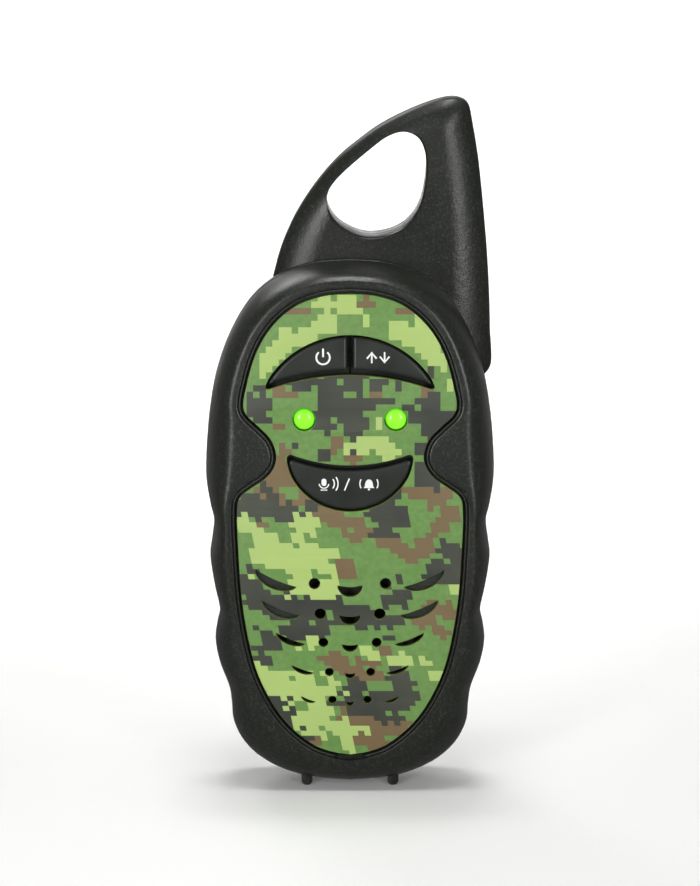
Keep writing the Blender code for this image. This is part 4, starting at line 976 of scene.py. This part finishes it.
def side_rings(outline, core, roundness, outer_depth, inner_depth, side):
    """Outer and inner rings of a housing half, both from the lip to the deepest part."""
    lip = GAP / 2
    outer, inner = [], []
    for inwards, deep in edge_profile(roundness, EDGE_STEPS):
        ring = [point.lerp(middle, inwards) for point, middle in zip(outline, core)]
        inner_ring = offset_outline(ring, -WALL)
        outer.append([(p.x, side * (lip + deep * (outer_depth(p.y) - lip)), p.y) for p in ring])
        inner.append([(p.x, side * (lip + deep * (inner_depth(p.y) - lip)), p.y) for p in inner_ring])
    # The lip's outer edge is slightly rounded, so the joint shows as a fine line.
    soft = 0.22
    softened = offset_outline(outline, -soft)
    outer[0] = level(outline, side * (lip + soft))
    outer.insert(0, level(softened, side * lip))
    return outer, inner


# Heights over the face plate of the housing's rim round the plate, with how far out from the plate
RIM_SECTION = [
    (2.10, 0.40), (1.62, 0.40), (1.46, 0.34), (1.38, 0.12), (1.32, -0.15), (1.24, -0.15), (1.16, 0.06),
    (1.08, 0.25), (0.98, 0.35), (0.86, 0.38), (0.74, 0.35), (0.66, 0.26), (0.60, 0.10), (0.56, -0.30),
    (0.47, -1.20), (0.36, -1.78), (0.36, -3.40),
]


def is_inside(point, outline):
    """Whether a point lies inside an outline, by counting the edges to its right."""
    inside = False
    for a, b in zip(outline, outline[1:] + outline[:1]):
        if (a.y > point.y) != (b.y > point.y):
            if point.x < a.x + (b.x - a.x) * (point.y - a.y) / (b.y - a.y):
                inside = not inside
    return inside


def roll_end(outline, rim):
    """Where the rolled edge ends: a fixed way in, but short of the rim where that is nearer."""
    core = offset_outline(relaxed(outline, EVENING_ROUNDS), -FRONT_ROUND)
    reach = []
    for point, middle in zip(outline, core):
        share = 1.0
        while is_inside(point.lerp(middle, share), rim):
            share -= 0.02
        reach.append(share)
    even = list(reach)
    for _ in range(30):
        around = zip(even[-1:] + even[:-1], even, even[1:] + even[:1], reach)
        even = [min((a + 2 * b + c) / 4, limit) for a, b, c, limit in around]
    return [point.lerp(middle, share) for point, middle, share in zip(outline, core, even)]


def seam_rings(outline, section):
    """Rings along the seam, where the rear shell's tongue stands in the front shell's groove."""
    return [level(offset_outline(outline, out), y) for out, y in section]


def make_front_housing():
    """The front shell with its rim round the plate, and the floor that backs the plate."""
    outline = whole_outline(BODY_HALF)
    plate = whole_outline(PLATE_HALF)
    rim_width = RIM_SECTION[0][0]
    first = offset_outline(plate, rim_width)
    core = roll_end(outline, offset_outline(plate, rim_width + 0.3))

    def outer_depth(z):
        return FACE_PROUD - face_y(z)

    def inner_depth(z):
        return -face_y(z) - FLOOR_DEPTH - FLOOR_THICKNESS

    outer, inner = side_rings(outline, core, FRONT_ROUNDNESS, outer_depth, inner_depth, -1)
    rings = list(outer)
    for step in range(1, 6):
        ring = [a.lerp(b, step / 6) for a, b in zip(core, first)]
        rings.append([(p.x, face_y(p.y) - FACE_PROUD, p.y) for p in ring])
    for out, height in RIM_SECTION:
        ring = offset_outline(plate, out)
        levels = []
        for p in ring:
            notch = smooth_step((3.9 - abs(p.x)) / 0.5) if p.y < 14 and out < 1.5 else 0.0
            levels.append(height + (min(height, -1.0) - height) * notch)
        rings.append([(p.x, face_y(p.y) - level, p.y) for p, level in zip(ring, levels)])
    profile = edge_profile(FRONT_ROUNDNESS, EDGE_STEPS)
    kept = [ring for ring, (_, deep) in zip(inner, profile) if deep <= 0.85]
    rings += kept[::-1]
    rings += seam_rings(outline, [(-1.35, -0.15), (-1.35, -1.05), (-0.45, -1.05), (-0.45, -0.15)])
    piece("front_shell", loft(rings, closed=True), BLACK, "unit", ["front_housing"], 40)

    floor = [offset_outline(plate, 0.5), brow_outline(KEY_CLEARANCE), talk_outline(KEY_CLEARANCE)]
    floor += [circle_outline(side * LED_X, LED_Z, LED_RADIUS + 0.7) for side in (-1, 1)]
    floor += grille_outlines(0.25, BLIND_SLOT_ROWS)
    front = FACE_FRONT + FLOOR_DEPTH
    mesh = flat_mesh(floor, front, front + FLOOR_THICKNESS, 0.0, True)
    piece("plate_backing", mesh, BLACK, "unit", ["front_housing"])


def make_face_plate():
    """The printed plate, with its windows, lamp holes and speaker slots."""
    outlines = [whole_outline(PLATE_HALF), brow_outline(0.0), talk_outline(0.0)]
    outlines += [circle_outline(side * LED_X, LED_Z, LED_RADIUS + GAP) for side in (-1, 1)]
    outlines += grille_outlines()
    mesh = flat_mesh(outlines, FACE_FRONT, FACE_FRONT + PLATE_THICKNESS, 0.10, True)
    piece("camo_face_plate", mesh, CAMO, "unit", ["face_plate"])


def back_rounding(point):
    """The back is rounded off, except along the root of the fin, where it runs straight on into the fin."""
    root = smooth_step((point.x + 19) / 9) * smooth_step((point.y - 101) / 16)
    return BACK_ROUND + (FIN_ROOT_ROUND - BACK_ROUND) * root


def cover_outline():
    """The battery cover's rectangle."""
    return box_outline(-COVER_HALF_WIDTH, COVER_BOTTOM, COVER_HALF_WIDTH, COVER_TOP, 3.5)


def make_rear_housing():
    """The rear shell, with the battery box, the screw posts and the clip's lugs moulded on."""
    outline = whole_outline(BODY_HALF)
    core = offset_outline(relaxed(outline, EVENING_ROUNDS), [-back_rounding(point) for point in outline])
    outer, inner = side_rings(
        outline, core, BACK_ROUNDNESS, lambda z: BACK_DEPTH, lambda z: BACK_DEPTH - WALL, 1
    )
    tongue = seam_rings(outline, [(-0.6, 0.15), (-0.6, -0.85), (-1.2, -0.85), (-1.2, 0.15)])
    y, z = CLIP_PIN_Y, CLIP_PIN_Z
    seat = offset_outline(cover_outline(), GAP)
    added = [box_mesh(*BATTERY_BOX)]
    cut = [
        box_mesh((-BAY_HALF_WIDTH, -0.3, BAY_BOTTOM), (BAY_HALF_WIDTH, 15.0, BAY_TOP)),
        flat_mesh([seat], BACK_DEPTH - COVER_THICKNESS - GAP, 16.0),
    ]
    for side in (-1, 1):
        hook, lug = side * HOOK_X, side * CLIP_LUG_X
        cut.append(box_mesh((hook - 3.3, 9.6, 9.4), (hook + 3.3, 12.5, 14.0)))
        for post_x, post_z in POST_PLACES:
            x = side * post_x
            added.append(cylinder_mesh((x, 0.4, post_z), (x, 9.0, post_z), POST_RADIUS))
            cut.append(cylinder_mesh((x, HEAD_SEAT_Y, post_z), (x, BEHIND_ALL, post_z), HEAD_RADIUS + 0.4))
        added.append(box_mesh((lug - 1.4, 12.9, z - 4.5), (lug + 1.4, 19.6, z + 3.5)))
    cut.append(cylinder_mesh((0, 4.0, COVER_SCREW_Z), (0, 16.0, COVER_SCREW_Z), 1.9))
    cut.append(cylinder_mesh((-14, y, z), (14, y, z), PIN_BORE))
    mesh = shaped(loft(outer[::-1] + tongue + inner), added, cut)
    piece("rear_shell", mesh, BLACK, "unit", ["rear_housing"], 40)


# ---------------------------------------------------------------- antenna fin

def fin_mesh(side):
    """One half of the fin: a rounded flank that runs up over a soft ridge to its flat face."""
    edge = smooth_curve([pair[0] for pair in FIN_PAIRS], 10, closed=True)
    face = smooth_curve([pair[1] for pair in FIN_PAIRS], 10, closed=True)
    parting = FIN_MIDDLE_Y + side * GAP / 2
    softened = [outer.lerp(inner, 0.03) for outer, inner in zip(edge, face)]
    rings = [level(softened, parting), level(edge, parting + side * 0.25)]
    for step in range(FIN_STEPS + 1):
        # From the edge the flank climbs steeply, eases off over the ridge, and ends flat inside it.
        left = max(math.cos(math.pi / 2 * step / FIN_STEPS), 0.0)
        inwards = RIDGE_REACH * (1 - left)
        rise = math.sqrt(1 - left**1.6)
        half_depth = FIN_EDGE_HALF_DEPTH + (FIN_HALF_DEPTH - FIN_EDGE_HALF_DEPTH) * rise
        ring = [outer.lerp(inner, inwards) for outer, inner in zip(edge, face)]
        rings.append(level(ring, FIN_MIDDLE_Y + side * half_depth))
    return loft(rings)


def loop_cutter():
    """The carry loop's hole, which widens a little where it meets each face."""
    edge = smooth_curve(LOOP_EDGE, 10, closed=True)
    rings = []
    for y, grow in (
        (-4.0, 0.9), (2.0, 0.55), (2.12, 0.32), (2.35, 0.12), (2.7, 0.0), (7.7, 0.0), (7.85, 0.15),
        (8.15, 0.15), (8.3, 0.0), (13.3, 0.0), (13.65, 0.12), (13.88, 0.32), (14.0, 0.55), (20.0, 0.9),
    ):
        rings.append(level(offset_outline(edge, grow), y))
    return loft(rings)


def make_fin():
    """Both halves, cut to fit round the housing with a fine gap, and polished inside the loop."""
    body_edge = whole_outline(BODY_HALF)
    loop_edge = smooth_curve(LOOP_EDGE, 10, closed=True)
    for name, side, node in (("fin_front_shell", -1, "fin_front"), ("fin_rear_shell", 1, "fin_rear")):
        cut = [loop_cutter(), flat_mesh([offset_outline(body_edge, -0.4)], -3.0, BEHIND_ALL)]
        if side > 0:
            for x, z in FIN_SCREW_PLACES:
                cut.append(cylinder_mesh((x, FIN_HEAD_SEAT_Y, z), (x, BEHIND_ALL, z), HEAD_RADIUS))
        fin = piece(name, shaped(fin_mesh(side), cut=cut), BLACK, "unit", [node], 25)
        fin.data.materials.append(POLISHED)
        for polygon in fin.data.polygons:
            place = Vector((polygon.center.x / MM, polygon.center.z / MM))
            if abs(polygon.normal.y) < 0.45 and min((place - point).length for point in loop_edge) < 0.9:
                polygon.material_index = 1


# ---------------------------------------------------------------- keys and lamps

def make_key(name, node, cap_outline, flange, flange_front, bent):
    """A cap whose face rolls off softly at its edge, on a flange that keeps it in."""
    front = FACE_FRONT + KEY_RECESS
    levels = [(0.0, flange_front + (-0.45 if bent else 0.5)), (0.0, front + KEY_ROLL_DEPTH)]
    for sine, cosine in quarter_round(7):
        levels.append((KEY_ROLL * (1 - cosine), front + KEY_ROLL_DEPTH * (1 - sine)))
    rings = []
    for inset, y in levels:
        outline = cap_outline(-KEY_CLEARANCE - inset)
        rings.append(level(even_spacing(outline + outline[:1], 161)[:-1], y))
    cap = loft(rings)
    base = flat_mesh([flange], flange_front, flange_front + FLANGE_THICKNESS)
    mesh = shaped(bend(cap) if bent else cap, [base])
    piece(name, mesh, KEY_BLACK, node, [node], 50)


def make_keys():
    """The two keys of the brow and the talk key, each with its flange."""
    grow = KEY_CLEARANCE + FLANGE_LIP
    for node, side in (("power_key", -1), ("channel_key", 1)):
        make_key(
            node + "_cap", node, lambda inset: brow_key_outline(side, inset, BROW_CAP_LIFT),
            brow_key_outline(side, grow), BROW_FLANGE_FRONT, True,
        )
    make_key(
        "talk_key_cap", "talk_key", lambda inset: talk_outline(inset, lower=TALK_CAP_DROP),
        talk_outline(grow), TALK_FLANGE_FRONT, False,
    )


def stroke_outline(points, width):
    """A line of even width, as a closed outline with square ends."""
    left, right = [], []
    for index, point in enumerate(points):
        before = points[max(index - 1, 0)]
        after = points[min(index + 1, len(points) - 1)]
        along = (after - before).normalized()
        across = Vector((-along.y, along.x)) * width / 2
        left.append(point + across)
        right.append(point - across)
    return left + right[::-1]


def arc_points(x, z, radius, start, end, steps=20):
    """Points of an arc, with angles in degrees clockwise from straight up."""
    turns = [math.radians(start + (end - start) * step / steps) for step in range(steps + 1)]
    return [Vector((x + radius * math.sin(turn), z + radius * math.cos(turn))) for turn in turns]


def make_sign(name, node, outlines, front, bent):
    """Thin printed marks that lie on a key's face."""
    meshes = [flat_mesh([outline], front - 0.03, front + 0.05, 0.0, bent) for outline in outlines]
    piece(name, mesh_of(model_of(*meshes)), WHITE, node, [], 30)


def make_signs():
    """A power sign, two arrows for the channel, and a microphone and a bell for talk and call."""
    front = FACE_FRONT + KEY_RECESS
    x, z = -6.5, 109.6
    power = [
        stroke_outline(arc_points(x, z, 1.62, 38, 322, 36), 0.44),
        box_outline(x - 0.22, z + 0.1, x + 0.22, z + 2.2, 0.05, 2),
    ]
    make_sign("power_sign", "power_key", power, front, True)
    x = 6.8
    channel = []
    for shift, up in ((-1.55, 1), (1.55, -1)):
        tip, wide = Vector((x + shift, z + up * 1.15)), 1.15
        channel.append(stroke_outline(
            [Vector((x + shift - wide, z - up * 0.25)), tip, Vector((x + shift + wide, z - up * 0.25))], 0.44
        ))
        channel.append(box_outline(x + shift - 0.2, z - 1.35, x + shift + 0.2, z + 1.35, 0.05, 2))
    make_sign("channel_sign", "channel_key", channel, front, True)
    x, z = -0.6, TALK_MIDDLE_Z
    talk = [
        box_outline(x - 6.3, z - 0.35, x - 5.1, z + 1.45, 0.58, 6),
        stroke_outline(arc_points(x - 5.7, z + 0.25, 1.15, 95, 265, 20), 0.30),
        box_outline(x - 5.85, z - 1.45, x - 5.55, z - 0.8, 0.04, 2),
        box_outline(x - 6.5, z - 1.5, x - 4.9, z - 1.22, 0.04, 2),
    ]
    for radius in (2.0, 2.9):
        talk.append(stroke_outline(arc_points(x - 5.2, z + 0.2, radius, 55, 125, 12), 0.30))
    talk.append(stroke_outline([Vector((x - 0.75, z - 1.5)), Vector((x + 0.45, z + 1.5))], 0.32))
    bell = [
        Vector((x + 5.2 + side * wide, z + up))
        for side, rows in (
            (-1, ((1.35, -0.85), (1.05, -0.55), (0.92, 0.3), (0.72, 0.85), (0.35, 1.18), (0.0, 1.28))),
            (1, ((0.35, 1.18), (0.72, 0.85), (0.92, 0.3), (1.05, -0.55), (1.35, -0.85))),
        )
        for wide, up in rows
    ]
    talk += [bell, circle_outline(x + 5.2, z - 1.18, 0.28, 16)]
    for start in (60, 240):
        talk.append(stroke_outline(arc_points(x + 5.2, z + 0.2, 2.2, start, start + 60, 12), 0.30))
    make_sign("talk_sign", "talk_key", talk, front, False)


def make_lamps():
    """Two lenses, each a round-topped cylinder on a flange that stands on the board."""
    length = BOARD_FRONT_Y - (face_y(LED_Z) + 0.2)
    profile = [(0, length)]
    profile += [(LENS_RADIUS * sine, length - 1.1 * (1 - cosine)) for sine, cosine in quarter_round(8)]
    profile += [(LENS_RADIUS, 1.2), (2.9, 1.2), (2.9, 0), (0, 0)]
    for name, side in (("led_left", -1), ("led_right", 1)):
        mesh = turned_mesh(profile, (side * LED_X, BOARD_FRONT_Y, LED_Z), (0, -1, 0), 48)
        piece(name + "_lens", mesh, LAMP, "unit", [name], 50)


# ---------------------------------------------------------------- back: cover, clip, screws, feet

def make_battery_cover():
    """The cover, with two hooks at its foot, a sunk screw hole and five grip grooves."""
    added = []
    for side in (-1, 1):
        low, high = side * HOOK_X - 2.8, side * HOOK_X + 2.8
        added.append(box_mesh((low, 11.0, 9.9), (high, 12.1, 14.5)))
        added.append(box_mesh((low, 11.5, 12.7), (high, 12.8, 14.5)))
    hole = ((8.0, 1.6), (COVER_SCREW_SEAT_Y, 2.7))
    cut = [cylinder_mesh((0, y, COVER_SCREW_Z), (0, 18.0, COVER_SCREW_Z), radius) for y, radius in hole]
    for row in range(5):
        z = 60.0 - row * 2.2
        cut.append(flat_mesh([box_outline(-6.0, z, 6.0, z + 0.9, 0.4, 4)], 13.5, 15.0))
    mesh = shaped(flat_mesh([cover_outline()], BACK_DEPTH - COVER_THICKNESS, BACK_DEPTH, 0.2), added, cut)
    piece("battery_door", mesh, BLACK, "battery_cover", ["battery_cover"], 35)


def make_belt_clip():
    """The clip: a sprung tongue with two barrels on its pin, a lip at its tip and four grip grooves."""
    y, z = CLIP_PIN_Y, CLIP_PIN_Z
    outline = box_outline(-CLIP_HALF_WIDTH, 79.0, CLIP_HALF_WIDTH, 119.0, 2.5)
    added = []
    for side in (-1, 1):
        added.append(cylinder_mesh((side * 3.0, y, z), (side * CLIP_HALF_WIDTH, y, z), 2.5))
        added.append(box_mesh((side * 5.1 - 2.0, y, z - 1.6), (side * 5.1 + 2.0, 20.6, z + 1.6)))
    added.append(box_mesh((-6.2, 15.1, 79.6), (6.2, 20.6, 81.4)))
    cut = [cylinder_mesh((-12, y, z), (12, y, z), PIN_BORE)]
    for row in range(4):
        low = z + 1.2 + row * 1.5
        cut.append(flat_mesh([box_outline(-4.5, low, 4.5, low + 0.7, 0.3, 4)], 21.25, 23.0))
    mesh = shaped(flat_mesh([outline], CLIP_PAD_Y - 0.9, CLIP_PAD_Y + 0.9, 0.45), added, cut)
    piece("belt_clip_tongue", mesh, BLACK, "belt_clip", ["belt_clip"], 35)
    pin = [(0, 20.6), (0.8, 20.6), (1.0, 20.3), (1.0, 0.3), (0.8, 0), (0, 0)]
    axle = turned_mesh(pin, (-10.3, y, z), (1, 0, 0))
    piece("clip_axle", axle, STEEL, "unit", ["clip_pin"])
    make_clip_spring(y, z)


def make_clip_spring(y, z):
    """A torsion spring round the pin, with one leg on the housing and one on the clip's pad."""
    radius = 1.6
    turns, per_turn = 3, 24
    points = [(-2.3, y + 1.55, z + 6.0), (-2.3, y + radius, z + 2.5)]
    steps = turns * per_turn
    for step in range(steps + 1):
        turn = 2 * math.pi * step / per_turn
        points.append((-2.3 + 4.6 * step / steps, y + radius * math.cos(turn), z - radius * math.sin(turn)))
    points += [(2.3, y + radius * 0.6, z + 2.5), (2.3, y - 1.2, z + 6.0)]
    spring = wire("clip_torsion_spring", points, 0.25, STEEL)
    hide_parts("clip_spring")
    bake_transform(spring)


def screw_mesh(start, head, length, shaft):
    """A pan-head screw with a cross recess, its head's underside at start and its head towards +Y."""
    radius, rise = head
    turns = [math.radians(turn) for turn in (15, 30, 45, 60, 75, 88)]
    crown = [(radius * math.sin(turn), rise * (0.45 + 0.55 * math.cos(turn))) for turn in turns]
    profile = [(0, rise)] + crown + [(radius, 0), (shaft, 0)]
    thread = -0.4
    while thread > -length + 1.4:
        profile += [(shaft, thread), (shaft * 0.78, thread - 0.35), (shaft, thread - 0.7)]
        thread -= 0.9
    profile += [(0.3, -length), (0, -length)]
    x, y, z = start
    base = turned_mesh(profile, start, (0, 1, 0), 32)
    arm, half = radius * 0.62, radius * 0.15
    depth = y + rise * 0.35
    cut = [
        box_mesh((x - wide, depth, z - tall), (x + wide, y + rise + 1, z + tall))
        for wide, tall in ((arm, half), (half, arm))
    ]
    return shaped(base, cut=cut)


def make_screws():
    """Four screws in the housing, two in the fin and one in the battery cover."""
    names = {(1, 0): "upper_right", (-1, 0): "upper_left", (1, 1): "lower_right", (-1, 1): "lower_left"}
    for (side, place), name in names.items():
        x, z = POST_PLACES[place]
        mesh = screw_mesh((side * x, HEAD_SEAT_Y + GAP, z), (HEAD_RADIUS, 1.5), 15.4, 1.05)
        node = "housing_screw_" + name
        piece(node + "_detail", mesh, SCREW_STEEL, "unit", [node])
    for name, (x, z) in zip(("lower", "upper"), FIN_SCREW_PLACES):
        mesh = screw_mesh((x, FIN_HEAD_SEAT_Y + GAP, z), (1.8, 1.4), 6.2, 0.85)
        node = "fin_screw_" + name
        piece(node + "_detail", mesh, SCREW_STEEL, "unit", [node])
    mesh = screw_mesh((0, COVER_SCREW_SEAT_Y + GAP, COVER_SCREW_Z), (2.2, 0.7), 8.2, 1.1)
    piece("cover_screw_detail", mesh, SCREW_STEEL, "battery_cover", ["battery_cover_screw"])


def make_feet():
    """Four round-ended pegs, each held in the housing by a flange."""
    flat, rolled = FOOT_TIP_RADIUS, FOOT_RADIUS - FOOT_TIP_RADIUS
    profile = [(0, 6.6), (2.3, 6.6), (2.3, 5.4), (FOOT_RADIUS, 5.4), (FOOT_RADIUS, FOOT_ROUND)]
    profile += [(flat + rolled * cosine, FOOT_ROUND * (1 - sine)) for sine, cosine in quarter_round(8)[:-1]]
    profile += [(flat, 0), (0, 0)]
    for node in ("foot_front_left", "foot_front_right", "foot_rear_left", "foot_rear_right"):
        low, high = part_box(node)
        x, y = (low.x + high.x) / 2 / MM, ((low.y + high.y) / 2 - PARTING_Y) / MM
        mesh = turned_mesh(profile, (x, y, 0.0), (0, 0, 1), 36)
        piece(node + "_peg", mesh, BLACK, "unit", [node], 50)


# ---------------------------------------------------------------- inside

def make_domes():
    """A silicone dome on the board under each key, each given a mesh of its own."""
    for node, x, z, flange_front in (
        ("power_dome", -BROW_DOME_X, BROW_DOME_Z, BROW_FLANGE_FRONT),
        ("channel_dome", BROW_DOME_X, BROW_DOME_Z, BROW_FLANGE_FRONT),
        ("talk_dome", 0.0, TALK_MIDDLE_Z, TALK_FLANGE_FRONT),
    ):
        top = BOARD_FRONT_Y - (flange_front + FLANGE_THICKNESS + GAP)
        profile = [
            (0, top), (1.7, top), (1.95, top - 0.12), (2.2, top - 0.5), (2.7, 0.85), (3.1, 0.62), (4.0, 0.5),
            (4.0, 0), (0, 0),
        ]
        mesh = turned_mesh(profile, (x, BOARD_FRONT_Y, z), (0, -1, 0), 36)
        dome = piece(node + "_silicone", mesh, SILICONE, "unit", [node], 50)
        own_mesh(dome)


def make_battery_cells():
    """Three cells side by side, the middle one upside down."""
    profile = [
        (0, 44.5), (1.7, 44.5), (1.9, 44.3), (1.9, 43.5), (4.5, 43.5), (5.0, 43.2), (5.25, 42.8), (5.25, 0.4),
        (5.1, 0.12), (4.7, 0), (0, 0),
    ]
    for index, x in enumerate((-11.2, 0.0, 11.2), 1):
        flipped = index == 2
        z = BAY_BOTTOM + (45.5 if flipped else 6.1)
        mesh = turned_mesh(profile, (x, 5.6, z), (0, 0, -1 if flipped else 1), 48)
        node = f"battery_cell_{index}"
        piece(node + "_wrap", mesh, CELL_WRAP, "unit", [node])


def dress_inside():
    """CAD nodes that stay as they are get a finished material."""
    materials = {
        "antenna_coil": COPPER, "antenna_lead": COPPER, "main_board": BOARD, "radio_shield": STEEL,
        "crystal_can": STEEL, "controller_chip": CHIP, "filter_capacitor": CHIP, "microphone": STEEL,
        "speaker_cone": PAPER, "speaker_frame": CHIP, "speaker_magnet": STEEL, "speaker_lead": BLACK_LEAD,
        "battery_lead_black": BLACK_LEAD, "battery_lead_red": RED_LEAD, "battery_bridge_lower": STEEL,
        "battery_bridge_upper": STEEL, "battery_contact_negative": STEEL, "battery_contact_positive": STEEL,
        "battery_spring_1": STEEL, "battery_spring_2": STEEL, "battery_spring_3": STEEL,
    }
    for name, material in materials.items():
        mesh = NODES[name].data
        mesh.materials.clear()
        mesh.materials.append(material)


# ---------------------------------------------------------------- scene

def backdrop_mesh(half_width, start):
    """A floor from start backwards, which curves up into a backdrop."""
    curve_start, curve = 0.7, 0.8
    points = [(start, 0.0), (curve_start, 0.0)]
    points += [(curve_start + curve * sine, curve * (1 - cosine)) for sine, cosine in quarter_round(12)]
    points.append((curve_start + curve, 3.0))
    model = bmesh.new()
    rows = [[model.verts.new((x, y, z)) for x in (-half_width, half_width)] for y, z in points]
    for row, next_row in zip(rows, rows[1:]):
        model.faces.new((row[0], row[1], next_row[1], next_row[0]))
    return mesh_of(model, "floor")


def make_stage():
    """A pale floor and backdrop, of which the black plastic mirrors only a strip straight behind it."""
    pale = floor_material()
    floor = put("floor", backdrop_mesh(2.5, -4.0), pale, 30)
    floor.visible_glossy = False
    strip = put("mirrored_strip", backdrop_mesh(0.4, 0.3), pale, 30)
    strip.visible_camera = False
    strip.visible_diffuse = False
    strip.visible_shadow = False


def area_light(name, place, target, size, power, spread=180):
    """A rectangular lamp aimed at a target, its spread in degrees."""
    light = bpy.data.lights.new(name, "AREA")
    light.shape = "RECTANGLE"
    light.size, light.size_y = size
    light.energy = power
    light.spread = math.radians(spread)
    obj = in_scene(name, light)
    obj.location = place
    obj.rotation_euler = (Vector(target) - Vector(place)).to_track_quat("-Z", "Y").to_euler()


def make_lights():
    """Two tall soft boxes and two low strips beside the camera, a box overhead and one behind, and pools
    of light on the floor and the backdrop."""
    middle = (0.0, 0.0, 0.085)
    area_light("left_soft_box", (-0.54, -1.16, 0.40), middle, (0.20, 0.70), 2.4)
    area_light("right_soft_box", (0.54, -1.16, 0.40), middle, (0.20, 0.70), 2.0)
    area_light("left_low_strip", (-0.36, -0.68, 0.13), middle, (0.06, 0.25), 1.40)
    area_light("right_low_strip", (0.36, -0.68, 0.13), middle, (0.06, 0.25), 0.95)
    area_light("top_soft_box", (0.0, -0.1, 1.1), (0.0, -0.05, 0.0), (1.3, 1.0), 1.5)
    area_light("pool_light", (0.0, 0.83, 0.9), (0.0, 0.831, 0.0), (0.2, 1.5), 1.7, 40)
    area_light("front_pool_light", (0.0, -0.22, 0.9), (0.0, -0.221, 0.0), (0.3, 0.2), 0.32, 45)
    area_light("backdrop_light", (0.0, 0.75, 1.5), (0.0, 1.5, 0.5), (0.7, 0.3), 2.4, 80)
    area_light("rear_soft_box", (-0.55, 1.15, 1.0), middle, (0.5, 0.5), 3.5)
    world = bpy.data.worlds.new("studio")
    world.use_nodes = True
    background = world.node_tree.nodes["Background"]
    background.inputs["Color"].default_value = (1.0, 1.0, 1.0, 1.0)
    background.inputs["Strength"].default_value = 0.14
    bpy.context.scene.world = world


def make_camera():
    """A long lens at the height and distance of a product photograph."""
    low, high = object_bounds()
    target = (low + high) / 2
    rise = math.radians(11.5)
    distance = 1.15
    camera = bpy.data.cameras.new("camera")
    camera.sensor_fit = "VERTICAL"
    camera.sensor_height = 36.0
    camera.lens = 190.0
    camera.clip_end = 20.0
    obj = in_scene("camera", camera)
    obj.location = target + Vector((0.0, -math.cos(rise), math.sin(rise))) * distance
    obj.rotation_euler = (math.pi / 2 - rise, 0.0, 0.0)
    bpy.context.scene.camera = obj
    bpy.context.scene.view_settings.view_transform = "Standard"


make_camera()
make_front_housing()
make_face_plate()
make_rear_housing()
make_fin()
make_keys()
make_signs()
make_lamps()
make_battery_cover()
make_belt_clip()
make_screws()
make_feet()
make_domes()
make_battery_cells()
dress_inside()
make_stage()
make_lights()
